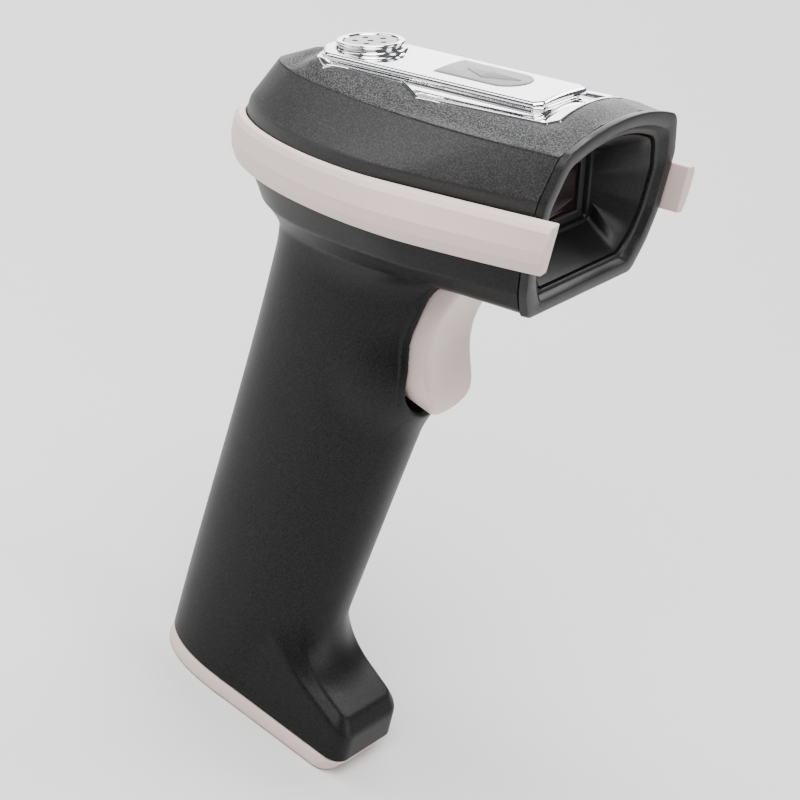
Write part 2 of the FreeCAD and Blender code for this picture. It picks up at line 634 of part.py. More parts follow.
# ---- works inside the head -----------------------------------------------------------------------
def main_board():
    edge = [(-19.5, 6.5), (-10.0, 12.0), (0.0, 15.5), (10.0, 17.0), (41.0, 17.0)]
    loop = edge + [(x, -y) for x, y in reversed(edge)]
    points = [V(x, y, 0) for x, y in loop]
    board = Part.Face(Part.makePolygon(points + [points[0]])).extrude(V(0, 0, 1.6))
    holes = [rod(V(x, y, -3), V(x, y, 4), 1.15) for x, y in BOARD_SCREWS]
    return pitched(cut_all(board, holes), BOARD_Z)


def board_chips():
    sizes = [(-4, 8, -5, 5, 1.2), (-4, 2, 8, 14, 1.0), (2, 9, -15, -8, 1.1), (11, 17, 8, 14, 0.9)]
    chips = [pitched(box(x0, x1, y0, y1, 1.65, 1.65 + h), BOARD_Z) for x0, x1, y0, y1, h in sizes]
    return Part.Compound(chips)


def radio_module():
    return pitched(box(-18.5, -11.5, -5.5, 5.5, 1.65, 3.6), BOARD_Z)


def status_led():
    return pitched(box(LENS_REAR + 9.5, LENS_REAR + 12.5, -1.4, 1.4, 1.65, 2.8), BOARD_Z)


def board_screws():
    screws = [screw(V(x, y, -0.05), V(0, 0, 1), 7.5, 0.95) for x, y in BOARD_SCREWS]
    return pitched(Part.Compound(screws), BOARD_Z)


def engine_box(x0, x1, half_w, half_h, dy=0.0):
    return pitched(box(x0, x1, dy - half_w, dy + half_w, -half_h, half_h), ENGINE_Z)


def scan_engine():
    body = engine_box(ENGINE_FRONT - ENGINE_DEPTH, ENGINE_FRONT, ENGINE_HALF_W, ENGINE_HALF_H)
    barrel = pitched(rod(V(ENGINE_FRONT - 8, -3.5, 0), V(ENGINE_FRONT + 1, -3.5, 0), 3.6), ENGINE_Z)
    lamp = pitched(rod(V(ENGINE_FRONT - 3, 6, 0), V(ENGINE_FRONT + 1, 6, 0), 2.6), ENGINE_Z)
    return body.cut(barrel).cut(lamp)


def engine_lens():
    barrel = pitched(rod(V(ENGINE_FRONT - 7.8, -3.5, 0), V(ENGINE_FRONT + 1.2, -3.5, 0), 3.4), ENGINE_Z)
    bore = pitched(rod(V(ENGINE_FRONT + 0.2, -3.5, 0), V(ENGINE_FRONT + 3, -3.5, 0), 2.2), ENGINE_Z)
    return barrel.cut(bore)


def aimer_lamp():
    return pitched(rod(V(ENGINE_FRONT - 2.8, 6, 0), V(ENGINE_FRONT + 0.6, 6, 0), 2.4), ENGINE_Z)


def engine_bracket():
    """Folded plate cradle that hangs the scan engine behind the window."""
    rear = engine_box(ENGINE_FRONT - ENGINE_DEPTH - 1.4, ENGINE_FRONT - ENGINE_DEPTH - 0.2, 15.0, 6.2)
    wings = []
    for side in (1, -1):
        low, high = sorted((side * 11.25, side * 12.45))
        wing = box(ENGINE_FRONT - ENGINE_DEPTH - 1.4, ENGINE_FRONT - 2, low, high, -6.2, BOARD_Z - ENGINE_Z - 0.1)
        wings.append(pitched(wing, ENGINE_Z))
    frame = fuse_all([rear] + wings)
    for y in (13.6, -13.6):
        frame = frame.cut(pitched(rod(V(0, y, 0), V(40, y, 0), 0.9), ENGINE_Z))
    notch = pitched(box(20, 26.6, -8, 8, 2.0, 9), ENGINE_Z)
    return frame.cut(notch)


def engine_screws():
    x = ENGINE_FRONT - ENGINE_DEPTH - 1.45
    return Part.Compound([pitched(screw(V(x, y, 0), V(1, 0, 0), 3.0, 0.8, 1.3, 1.0), ENGINE_Z) for y in (13.6, -13.6)])


def engine_flex():
    """Flat cable from the back of the engine up to the board."""
    x = ENGINE_FRONT - ENGINE_DEPTH
    low = box(x - 1.1, x - 0.3, -6, 6, 2.6, 8.4)
    return pitched(low, ENGINE_Z)


def battery_cell():
    axis = V(-0.0692, 0, 1).normalize()
    start = V(2.4, 0, 19.0)
    end = start.add(V(axis.x, axis.y, axis.z) * CELL_L)
    return rod(start, end, CELL_R)


def battery_holder():
    """Cradle trough that keeps the cell off the shell walls."""
    axis = V(-0.0692, 0, 1).normalize()
    start = V(2.4, 0, 17.0)
    end = start.add(V(axis.x, axis.y, axis.z) * (CELL_L + 4.0))
    trough = rod(start, end, CELL_R + 1.5)
    cell_room = rod(start.add(V(axis.x, 0, axis.z) * 1.7), start.add(V(axis.x, 0, axis.z) * (CELL_L + 2.3)), CELL_R + 0.2)
    front = box(0.5, 40, -20, 20, 0, 120)
    front.rotate(V(0, 0, 19), V(0, 1, 0), -3.96)
    return trough.cut(cell_room).cut(front)


def battery_lead():
    """Two-core lead from the top of the cell holder up through the neck to the main board."""
    runs = []
    for y in (-1.3, 1.3):
        points = [V(-13.5, y, 84.0), V(-13.5, y, 118.0), V(-17.0, y, 139.0)]
        for a, b in zip(points, points[1:]):
            runs.append(rod(a, b, 0.7))
        for p in points[1:-1]:
            runs.append(Part.makeSphere(0.7, p))
    return Part.Compound([fuse_all(runs[:3]), fuse_all(runs[3:])])


def cover_screws():
    """Side screws hidden under the soft band; they tie the lower shell to the top cover."""
    return Part.Compound([screw(at, inward, 5.0, 0.9, 1.7, 1.0) for at, inward in cover_screw_seats()])


# ---- export: each entry is one node ----------------------------------------------------------------
HEAD_PARTS = {
    "head_top_cover": top_cover,
    "bumper_band": bumper_band,
    "nose_bezel": nose_bezel,
    "window_shroud": window_shroud,
    "scan_window": scan_window,
    "window_gasket": window_gasket,
    "trim_tray": trim_tray,
    "trim_plate": trim_plate,
    "indicator_lens": indicator_lens,
    "light_guide": light_guide,
    "buzzer_ring": buzzer_ring,
    "buzzer_grille": buzzer_grille,
    "buzzer": buzzer,
    "main_board": main_board,
    "board_chips": board_chips,
    "radio_module": radio_module,
    "status_led": status_led,
    "board_screws": board_screws,
    "scan_engine": scan_engine,
    "engine_lens": engine_lens,
    "aimer_lamp": aimer_lamp,
    "engine_bracket": engine_bracket,
    "engine_screws": engine_screws,
    "engine_flex": engine_flex,
    "cover_screws": cover_screws,
}
GRIP_PARTS = {
    "body_shell": body_shell,
    "base_cap": base_cap,
    "base_screws": base_screws,
    "charge_port": charge_port,
    "charge_board": charge_board,
    "battery_cell": battery_cell,
    "battery_holder": battery_holder,
    "battery_lead": battery_lead,
    "trigger": trigger,
    "trigger_pin": trigger_pin,
    "trigger_spring": trigger_spring,
    "switch_board": switch_board,
    "trigger_switch": trigger_switch,
    "switch_plunger": switch_plunger,
}

for name, build in HEAD_PARTS.items():
    export(name, head(build()))
for name, build in GRIP_PARTS.items():
    export(name, build())
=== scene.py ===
import itertools
import json
import math

import bmesh
import bpy
import numpy as np
from mathutils import Matrix, Vector


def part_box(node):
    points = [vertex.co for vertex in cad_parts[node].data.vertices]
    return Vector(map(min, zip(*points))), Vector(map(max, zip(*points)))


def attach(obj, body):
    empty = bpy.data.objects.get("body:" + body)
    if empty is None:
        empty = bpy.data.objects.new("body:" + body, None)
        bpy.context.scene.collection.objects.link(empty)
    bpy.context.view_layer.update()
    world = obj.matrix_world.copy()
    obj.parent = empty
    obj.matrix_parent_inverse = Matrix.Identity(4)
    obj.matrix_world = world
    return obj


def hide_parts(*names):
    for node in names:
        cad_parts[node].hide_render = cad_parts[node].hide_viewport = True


# Looks of the handheld barcode scanner. Shapes are drawn in millimetres in the same drawing frame as
# the CAD source: +X is the way the nose looks, +Z is up. Head shapes use the head's own frame, with
# zero at the middle of the buzzer. The row frame is the drawing frame moved along X.

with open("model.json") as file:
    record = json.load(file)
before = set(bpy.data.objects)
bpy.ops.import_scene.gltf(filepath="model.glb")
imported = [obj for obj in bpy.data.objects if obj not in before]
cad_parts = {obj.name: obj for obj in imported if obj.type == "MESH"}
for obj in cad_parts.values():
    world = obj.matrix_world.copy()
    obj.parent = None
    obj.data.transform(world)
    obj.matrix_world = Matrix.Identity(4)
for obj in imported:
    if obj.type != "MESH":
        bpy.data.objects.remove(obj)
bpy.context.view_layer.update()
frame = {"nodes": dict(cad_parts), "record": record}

MM = 0.001
PIVOT_X, PIVOT_Z = 6.0, 119.0
pin_low, pin_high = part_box("trigger_pin")
SHIFT_X = (pin_low.x + pin_high.x) / 2 / MM - PIVOT_X

HEAD_TILT = math.radians(24.0)
BUZZER_X, BUZZER_Z = -25.5, 160.0
NOSE_TOP_X, NOSE_TOP_Z, NOSE_LEAN = 63.3, -13.2, 0.2745
SEAM = 2.15                           # the shells end this far behind the nose face
WALL = 2.0

# head rings, top to bottom: half width at the nose, widest half width, where it is widest,
# rearmost x, height at the nose, height at the rear
CROWN_INNER = (8.0, 8.0, 30.0, -14.5, -9.35, -3.4)
CROWN_OUTER = (16.0, 15.0, 40.0, -19.0, -11.0, -4.9)
CREASE = (23.0, 22.8, 48.0, -23.8, -13.1, -6.5)
SHOULDER = (27.1, 28.4, 28.0, -31.2, -22.1, -15.4)
BAND_TOP = (26.8, 27.9, 20.0, -31.7, -25.3, -17.8)
PARTING = (26.9, 28.2, 22.0, -32.0, -30.5, -23.4)
BAND_LOW = (27.0, 28.6, 24.0, -32.0, -36.0, -29.0)
BELLY = (25.2, 26.4, 26.0, -28.5, -42.6, -36.4)
UNDERSIDE = (21.6, 20.5, 30.0, -19.0, -49.0, -42.2)
BUMPER_OUTER = [
    (29.6, 30.0, 22.0, -34.0, -25.6, -17.9),
    (30.4, 31.0, 24.0, -35.1, -27.0, -19.2),
    (30.6, 32.2, 27.0, -36.2, -31.2, -23.4),
    (30.4, 32.1, 28.0, -36.1, -33.8, -26.0),
    (29.6, 31.4, 29.0, -35.3, -36.4, -28.5),
]
RING_FULLNESS = 1.65                  # exponent of the rings' rear quarter, 2 is an ellipse
BUMPER_OVERHANG = 4.3
RIDGE_REAR = -8.0                     # the cover's middle line starts here

# grip sections: height, centre x, half depth, half width
GRIP = np.array([
    (4.5, 3.0, 19.7, 13.3),
    (28.0, 1.7, 20.6, 13.7),
    (60.0, -0.5, 21.5, 14.4),
    (84.0, -1.9, 22.4, 15.0),
    (105.0, -3.0, 23.5, 15.8),
    (134.0, -5.5, 25.5, 18.0),
])
GRIP_POWER = 2.25                     # exponent of the sections' outline, 2 is an ellipse
COLLAR_X, COLLAR_Z = 11.0, 97.0       # middle of the swelling at the foot of the trigger slot
COLLAR_DEPTH, COLLAR_HALF_W, COLLAR_HALF_H = 11.0, 13.6, 13.0

# foot: the toe of the shell, and the cap under it
RIM_Z = 4.5                           # the shell ends here, on the foot cap's rim
TOE_HALF_W, TOE_FRONT, TOE_TOP_Z, TOE_SLOPE = 13.3, 41.2, 13.2, math.radians(21.0)
TOE_CORNER, TOE_CHAMFER, TOE_EDGE, TOE_SWEEP = 4.2, 2.3, 0.4, 11.0
FOOT_MIDDLE_X = 11.0
CAP_RIM_Z, CAP_LEAN = 4.1, 2.2
PORT_X, PORT_HALF_L, PORT_HALF_W, PORT_CORNER = 8.0, 4.7, 1.75, 1.6
BASE_SCREWS_X = (-9.5, 30.5)
SCREW_WELL_R, SCREW_HOLE_R = 2.3, 1.3

# trigger and the slot that it stands in
TRIG_HALF_W, TRIG_BOTTOM_Z, TRIG_BACK_X = 9.2, 92.4, 10.2
TRIG_CENTRE_Z = TRIG_BOTTOM_Z + TRIG_HALF_W
SLOT_HALF_W = TRIG_HALF_W + 0.45
SLOT_CENTRE_Z = TRIG_BOTTOM_Z - 2.0 + SLOT_HALF_W
SLOT_BACK_X, SLOT_ROOF_Z, TRIG_TOP_Z = 4.0, -48.6, -49.7
SCOOP_DEPTH, SCOOP_HALF_W, SCOOP_RIDGE = 0.9, 7.4, 0.6
BOSS_R, PIN_HOLE_R = 2.8, 1.32
NUB_Z, SPIGOT_Z, SPIGOT_R = 106.0, 98.0, 2.6
TRIGGER_FRONT = np.array([            # height, how far forward the finger face is
    (88.0, 25.0), (92.4, 25.6), (94.2, 26.0), (96.6, 25.6), (99.5, 24.3), (102.5, 22.3), (106.0, 20.5),
    (110.0, 19.2), (114.0, 18.8), (118.0, 19.2), (124.0, 20.4), (132.0, 22.4),
])

# nose frame, from the top corner down one side to the bottom corner: half width, height
NOSE_OUTER = [(23.2, -13.0), (27.1, -22.1), (27.0, -36.0), (25.2, -42.6), (21.6, -49.0)]
NOSE_INNER = [(20.4, -16.4), (23.6, -24.0), (23.5, -34.5), (21.7, -40.6), (18.0, -45.4)]
NOSE_RADII = [3.0, 7.0, 9.0, 9.0, 2.6]
NOSE_RIM, NOSE_CROWN = 3.4, 4.2       # inner outline's inset, arch of the top side
WINDOW_X, WINDOW_Z, WINDOW_HALF_W, WINDOW_HALF_H = 45.0, -29.2, 14.5, 6.6

# bright trim: the tray lies on the cover, the plate and its indicator are pitched nose-down in it
TRIM_PITCH = math.radians(4.8)
TRIM_TOP_Z = -2.2
TRAY_REAR, TRAY_FRONT, TRAY_HALF_W = -11.0, 55.5, 15.0
TRAY_WAIST_REAR, TRAY_WAIST_FRONT, TRAY_REAR_HALF_W = 15.5, 21.5, 11.2
TRAY_RADII = [1.0, 1.0, 1.2, 1.2, 6.0, 5.0]
PLATE_REAR, PLATE_FRONT, PLATE_HALF_W, PLATE_CROWN = -8.5, 49.4, 10.3, 0.7
PLATE_RADII = [0.9, 0.9, 2.0, 2.5]
LENS_REAR, LENS_MIDDLE, LENS_HALF_W = 20.2, 35.0, 6.2
KITE_TAIL, KITE_MIDDLE, KITE_TIP, KITE_HALF_W = 24.2, 30.6, 39.0, 3.7
SOUND_HOLE_R, SOUND_HOLES_AT = 0.75, 3.4


# ---- frames and small maths ----
def head_to_drawing(points):
    x, y, z = np.asarray(points, float).T
    c, s = math.cos(HEAD_TILT), math.sin(HEAD_TILT)
    return np.stack([x * c - z * s + BUZZER_X, y, x * s + z * c + BUZZER_Z], axis=1)


def drawing_to_head(x, z):
    c, s = math.cos(HEAD_TILT), math.sin(HEAD_TILT)
    return (x - BUZZER_X) * c + (z - BUZZER_Z) * s, (z - BUZZER_Z) * c - (x - BUZZER_X) * s


def trim_to_drawing(points):
    """Points drawn level on the bright trim, pitched nose-down with it."""
    x, y, z = np.asarray(points, float).T
    c, s = math.cos(TRIM_PITCH), math.sin(TRIM_PITCH)
    return head_to_drawing(np.stack([x * c + z * s, y, z * c - x * s + TRIM_TOP_Z], axis=1))


def nose_x(z):
    return NOSE_TOP_X + NOSE_LEAN * (z - NOSE_TOP_Z)


def smooth_step(low, high, value):
    t = np.clip((value - low) / (high - low), 0, 1)
    return t * t * (3 - 2 * t)


def round_max(a, b, radius):
    """What is inside both fields, with the edge between them rounded."""
    corner = np.hypot(np.maximum(a + radius, 0), np.maximum(b + radius, 0))
    return np.minimum(np.maximum(a, b), -radius) + corner


def soft_min(a, b, reach):
    """What is inside either field, with a fillet between them."""
    near = np.clip(reach - np.abs(a - b), 0, None) / reach
    return np.minimum(a, b) - near * near * reach / 4


# ---- meshes ----
def new_object(name, points, faces):
    """A mesh object from points drawn in millimetres in the drawing frame."""
    place = np.array(points, float)
    place[:, 0] += SHIFT_X
    mesh = bpy.data.meshes.new(name)
    mesh.from_pydata((place * MM).tolist(), [], [tuple(map(int, face)) for face in faces])
    thing = bpy.data.objects.new(name, mesh)
    bpy.context.scene.collection.objects.link(thing)
    return thing


def make_piece(name, points, faces, look, stands_for, sharp=35, body="housing"):
    """A visible piece that stands for a CAD node, finished in its own material's slot."""
    piece = new_object(name, points, faces)
    piece.data.validate()
    soften_faces(piece, sharp)
    piece.data.materials.append(look.material)
    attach(piece, body)
    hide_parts(stands_for)
    return piece


def soften_faces(piece, sharp):
    """Smooth shading, with edges sharp where faces turn by more than an angle in degrees."""
    piece.data.shade_smooth()
    piece.data.set_sharp_from_angle(angle=math.radians(sharp))


def carve(piece, tool_points, tool_faces, name):
    """Cuts a closed shape out of a piece."""
    tool = new_object(name, tool_points, tool_faces)
    tidy_normals(tool)
    modifier = piece.modifiers.new(name, "BOOLEAN")
    modifier.operation = "DIFFERENCE"
    modifier.solver = "EXACT"
    modifier.object = tool
    settle(piece)
    bpy.data.objects.remove(tool)


def settle(piece):
    """Applies the piece's modifiers to its mesh."""
    bpy.context.view_layer.update()
    evaluated = piece.evaluated_get(bpy.context.evaluated_depsgraph_get())
    mesh = bpy.data.meshes.new_from_object(evaluated)
    piece.modifiers.clear()
    piece.data = mesh


def strips(rows, closed_rows=False, closed_loop=True):
    """Points and quads joining rows of equally many points."""
    rows = np.asarray(rows, float)
    count, length = rows.shape[:2]
    points = rows.reshape(-1, 3)
    faces = []
    for i in range(count if closed_rows else count - 1):
        j = (i + 1) % count
        for k in range(length if closed_loop else length - 1):
            m = (k + 1) % length
            faces.append((i * length + k, i * length + m, j * length + m, j * length + k))
    return points, faces


def stack(rows):
    """A closed body from loops laid one after another."""
    points, faces = strips(rows)
    length = len(rows[0])
    last = len(points) - length
    faces.append(tuple(range(length - 1, -1, -1)))
    faces.append(tuple(range(last, last + length)))
    return points, faces


def tidy_normals(piece, merge=0.0, closed=True):
    """Joins points that meet; turns the faces of a closed body outwards."""
    made = bmesh.new()
    made.from_mesh(piece.data)
    if merge:
        bmesh.ops.remove_doubles(made, verts=made.verts, dist=merge * MM)
    if closed:
        bmesh.ops.recalc_face_normals(made, faces=made.faces)
    made.to_mesh(piece.data)
    made.free()


def both_sides(side, across=1):
    """A closed outline from the corners of one side, mirrored in the coordinate that runs across."""
    other = np.array(side[::-1], float)
    other[:, across] *= -1
    return np.concatenate([side, other])


def rounded_loop(corners, radii, arc=8, edge=6):
    """Closed outline with rounded corners: always the same number of points for as many corners."""
    corners = np.asarray(corners, float)
    count = len(corners)
    arcs = []
    for i, radius in enumerate(radii):
        before = corners[i - 1] - corners[i]
        after = corners[(i + 1) % count] - corners[i]
        one, two = before / np.linalg.norm(before), after / np.linalg.norm(after)
        half = math.acos(np.clip(one @ two, -1, 1)) / 2
        back = min(radius / math.tan(half), 0.48 * np.linalg.norm(before), 0.48 * np.linalg.norm(after))
        start, end = corners[i] + one * back, corners[i] + two * back
        t = np.linspace(0, 1, arc + 1)[:, None]
        weight = math.sin(half)
        low = (1 - t) ** 2 + 2 * weight * t * (1 - t) + t ** 2
        arcs.append(((1 - t) ** 2 * start + 2 * weight * t * (1 - t) * corners[i] + t ** 2 * end) / low)
    loop = []
    for i in range(count):
        loop.extend(arcs[i])
        a, b = arcs[i][-1], arcs[(i + 1) % count][0]
        loop.extend(a + (b - a) * k / edge for k in range(1, edge))
    return np.array(loop)


def level(loop, height, crown=0.0):
    """A plan loop at a height, higher by the crown along the middle of the plate."""
    return np.column_stack([loop, height + crown * (1 - (loop[:, 1] / PLATE_HALF_W) ** 2)])


def lathe(profile, segments):
    """Rows of a body turned about the vertical axis: profile is (radius, height) pairs."""
    angles = np.linspace(0, 2 * math.pi, segments, endpoint=False)
    circle = np.stack([np.cos(angles), np.sin(angles)], axis=1)
    return [level(radius * circle, height) for radius, height in profile]


def drill(piece, radius, low, high, spot):
    """An upright round hole through a piece, drawn in the drawing frame."""
    tool, faces = stack(lathe([(radius, low), (radius, high)], 48))
    carve(piece, tool + (*spot, 0.0), faces, "hole")


# ---- implicit surfaces ----
def slope_of(field, points):
    """Rate of change of a field along X, Y and Z."""
    step = 0.02
    slopes = []
    for axis in range(3):
        ahead, behind = points.copy(), points.copy()
        ahead[:, axis] += step
        behind[:, axis] -= step
        slopes.append((field(*ahead.T) - field(*behind.T)) / (2 * step))
    return np.stack(slopes, axis=1)


def net(field, low, high, cell):
    """Quad mesh of the surface where a field is zero: one vertex in each crossed cell, pulled onto it."""
    axes = [np.arange(a, b + cell, cell) for a, b in zip(low, high)]
    inside = field(*np.meshgrid(*axes, indexing="ij")) < 0
    corner = [inside[tuple(slice(o, n - 1 + o) for o, n in zip(offset, inside.shape))]
              for offset in itertools.product((0, 1), repeat=3)]
    count = np.sum(corner, axis=0)
    crossed = (count > 0) & (count < 8)
    index = np.full(crossed.shape, -1)
    index[crossed] = np.arange(crossed.sum())
    points = np.array(low) + (np.argwhere(crossed) + 0.5) * cell
    faces = []
    for axis in range(3):
        here = np.take(inside, range(inside.shape[axis] - 1), axis=axis)
        there = np.take(inside, range(1, inside.shape[axis]), axis=axis)
        spot = np.argwhere(here != there)
        u, v = np.eye(3, dtype=int)[(axis + 1) % 3], np.eye(3, dtype=int)[(axis + 2) % 3]
        limit = np.array(crossed.shape)
        fits = np.all((spot - u - v >= 0) & (spot < limit), axis=1)
        spot = spot[fits]
        quad = np.stack([index[tuple((spot - shift).T)] for shift in (u + v, v, 0 * u, u)], axis=1)
        outward = here[tuple(spot.T)]
        quad[~outward] = quad[~outward][:, ::-1]
        faces.append(quad)
    faces = np.concatenate(faces)
    faces = faces[np.all(faces >= 0, axis=1)]
    for relax in (0.0, 0.5, 0.5, 0.35, 0.0):
        if relax:
            points = points + relax * (neighbour_mean(points, faces) - points)
        for _ in range(2):
            slope = slope_of(field, points)
            size = np.maximum(np.sum(slope ** 2, axis=1, keepdims=True), 0.05)
            step = -field(*points.T)[:, None] * slope / size
            points = points + np.clip(step, -cell, cell)
    return points, faces


def neighbour_mean(points, faces):
    """The average of the points that share an edge with each point."""
    total, count = np.zeros_like(points), np.zeros(len(points))
    for k in range(4):
        a, b = faces[:, k], faces[:, (k + 1) % 4]
        np.add.at(total, a, points[b])
        np.add.at(total, b, points[a])
        np.add.at(count, a, 1)
        np.add.at(count, b, 1)
    return total / np.maximum(count, 1)[:, None]


def trimmed(points, faces, planes):
    """Cuts a mesh by planes (a point and the direction that goes away)."""
    made = bmesh.new()
    corners = [made.verts.new(p) for p in points]
    for face in faces:
        made.faces.new([corners[i] for i in face])
    for spot, away in planes:
        every = made.verts[:] + made.edges[:] + made.faces[:]
        bmesh.ops.bisect_plane(made, geom=every, dist=1e-4, plane_co=spot, plane_no=away, clear_outer=True)
    made.verts.index_update()
    points = np.array([v.co for v in made.verts])
    faces = [[v.index for v in f.verts] for f in made.faces]
    made.free()
    return points, faces


def thickened(points, faces, normals, depth):
    """A moulded wall: the surface, its copy moved inwards, and edges joining them."""
    count = len(points)
    edges = {}
    for face in faces:
        for edge in zip(face, face[1:] + face[:1]):
            edges[edge] = True
    inner = [[i + count for i in reversed(face)] for face in faces]
    rim = [[b, a, a + count, b + count] for a, b in edges if (b, a) not in edges]
    return np.concatenate([points, points - normals * depth]), faces + inner + rim


# ---- fields of the lower shell ----
GRIP_CURVES = [np.polyfit(GRIP[:, 0], GRIP[:, i], 3) for i in (1, 2, 3)]


def grip_field(x, y, z):
    """The grip, flatter across its front than its back."""
    centre, depth, width = (np.polyval(curve, z) for curve in GRIP_CURVES)
    forward = (x - centre) / depth
    width = width * (1 - 0.09 * np.clip(forward, 0, 1.2) ** 2)
    share = (np.abs(forward) ** GRIP_POWER + np.abs(y / width) ** GRIP_POWER) ** (1 / GRIP_POWER) + 1e-6
    return np.hypot(x - centre, y) * (1 - 1 / share)


def toe_field(x, y, z, grip):
    """The toe: its sloped top sweeps up into the grip, with a chamfered ledge along the sides and front."""
    rise = (z - RIM_Z) / 21.5
    side = np.abs(y) - (TOE_HALF_W - 0.9 * rise - 1.1 * np.clip((x - 3.0) / 35.0, -0.2, 1))
    front = x - (TOE_FRONT - 3.0 * rise)
    plan = round_max(side, front, TOE_CORNER)
    slope = (z - TOE_TOP_Z - (TOE_FRONT - x) * math.tan(TOE_SLOPE)) * math.cos(TOE_SLOPE)
    top = soft_min(grip, slope, TOE_SWEEP)
    chamfer = (plan + top + TOE_CHAMFER) * math.sqrt(0.5)
    block = round_max(round_max(plan, chamfer, TOE_EDGE), top, TOE_EDGE)
    return np.maximum(block, 5.0 - x)


def ring_numbers(rings, x, z):
    """The ring values that hold at a height in the head frame, and the height of the lowest ring."""
    heights = []
    for _, _, _, rear, nose_z, rear_z in rings:
        front = nose_x(nose_z)
        heights.append(nose_z + (rear_z - nose_z) * (front - x) / (front - rear))
    values = [np.full_like(x, v) for v in rings[0][:4]]
    for upper, lower, high, low in zip(rings, rings[1:], heights, heights[1:]):
        share = np.clip((high - z) / (high - low), 0, 1)
        for i in range(4):
            values[i] = values[i] + (lower[i] - upper[i]) * share
    return values, heights[-1]


def head_field(x, y, z):
    """Underside and lower flanks of the head, in the head frame."""
    (nose_w, wide_w, wide_x, rear), low = ring_numbers([PARTING, BAND_LOW, BELLY, UNDERSIDE], x, z)
    ahead = np.clip((x - wide_x) / (55.0 - wide_x), 0, 2)
    side = np.abs(y) - (wide_w - (wide_w - nose_w) * ahead ** 2)
    back = np.maximum(wide_x - x, 0)
    reach, spread = (back / (wide_x - rear)) ** RING_FULLNESS, np.abs(y / wide_w) ** RING_FULLNESS
    share = (reach + spread) ** (1 / RING_FULLNESS) + 1e-6
    round_rear = np.hypot(back, y) * (1 - 1 / share)
    side = np.where(x < wide_x, round_rear, side)
    return round_max(side * 0.9, low - z, 3.0)


def slot_field(x, y, z):
    """Room for the trigger: an upright U open to the front."""
    u = np.where(z < SLOT_CENTRE_Z, np.hypot(y, z - SLOT_CENTRE_Z), np.abs(y)) - SLOT_HALF_W
    head_z = drawing_to_head(x, z)[1]
    return round_max(np.maximum(u, SLOT_BACK_X - x), head_z - SLOT_ROOF_Z, 0.6)


def collar_field(x, y, z):
    """Swelling of the grip round the foot of the trigger slot."""
    flat = np.hypot((x - COLLAR_X) / COLLAR_DEPTH, y / COLLAR_HALF_W)
    ring = np.hypot(flat, (z - COLLAR_Z) / COLLAR_HALF_H) + 1e-6
    return COLLAR_DEPTH * (ring - 1)


def shell_field(x, y, z):
    """Grip, toe, collar and head in one, less the trigger's slot."""
    head_x, head_z = drawing_to_head(x, z)
    grip = grip_field(x, y, z)
    lower = soft_min(grip, toe_field(x, y, z, grip), TOE_EDGE)
    lower = soft_min(lower, collar_field(x, y, z), 5.0)
    whole = soft_min(lower, head_field(head_x, y, head_z), 9.0)
    return round_max(whole, -slot_field(x, y, z), 0.9)


def body_shell(look):
    """Grip, toe and lower half of the head in one moulding, open above, at the nose, slot and foot."""
    cell = 0.6
    points, faces = net(shell_field, (-40, -33, 2), (52, 33, 160), cell)
    front, rear = nose_x(PARTING[4]), PARTING[3]
    tilt = Vector((PARTING[4] - PARTING[5], 0, rear - front)).normalized()
    line = head_to_drawing([(front, 0, PARTING[4]), (front - tilt.x, 0, PARTING[4] - tilt.z)])
    nose = head_to_drawing([(nose_x(0) - SEAM, 0, 0), (nose_x(0) - SEAM + 1, 0, -NOSE_LEAN)])
    planes = [
        ((0, 0, RIM_Z + 0.12), (0, 0, -1)),
        (line[0], line[1] - line[0]),
        (nose[0], nose[1] - nose[0]),
    ]
    points, faces = trimmed(points, faces, planes)
    middle = np.array([points[face].mean(axis=0) for face in faces])
    back_wall = (slot_field(*middle.T) < 0.3) & (middle[:, 0] < SLOT_BACK_X + 5.5)
    faces = [face for face, gone in zip(faces, back_wall) if not gone]
    normals = slope_of(shell_field, points)
    normals /= np.maximum(np.linalg.norm(normals, axis=1, keepdims=True), 1e-6)
    solid, faces = thickened(points, faces, normals, WALL)
    make_piece("grip_shell", solid, faces, look, "body_shell", sharp=50)


# ---- head shells ----
def ring_points(ring, grow=0.0, ahead=0.0):
    """A ring's outline from the left nose corner round the rear to the right nose corner."""
    nose_w, wide_w, wide_x, rear, nose_z, rear_z = ring
    nose_w, wide_w, rear = nose_w + grow, wide_w + grow, rear - grow
    front = nose_x(nose_z) + ahead
    t = np.linspace(1, 0, 14, endpoint=False)
    angle = np.linspace(math.pi / 2, 0, 41)
    along, across = np.abs(np.cos(angle)) ** (2 / RING_FULLNESS), np.sin(angle) ** (2 / RING_FULLNESS)
    x = np.concatenate([wide_x + (front - wide_x) * t, wide_x - (wide_x - rear) * along])
    y = np.concatenate([wide_w - (wide_w - nose_w) * t ** 2, wide_w * across])
    x, y = np.concatenate([x, x[-2::-1]]), np.concatenate([y, -y[-2::-1]])
    z = nose_z + (rear_z - nose_z) * (front - x) / (front - rear)
    return np.stack([x, y, z], axis=1)


def softened(rows, setback, steps=5):
    """Rows with the crease along each inner row turned into a fillet that starts a set distance away."""
    made = [rows[0]]
    for i in range(1, len(rows) - 1):
        before, after = rows[i - 1] - rows[i], rows[i + 1] - rows[i]
        far = [np.linalg.norm(v, axis=1, keepdims=True) for v in (before, after)]
        a, b = (rows[i] + v * np.minimum(setback[i - 1] / d, 0.45) for v, d in zip((before, after), far))
        for t in np.linspace(0, 1, steps):
            made.append((1 - t) ** 2 * a + 2 * t * (1 - t) * rows[i] + t ** 2 * b)
    made.append(rows[-1])
    return made


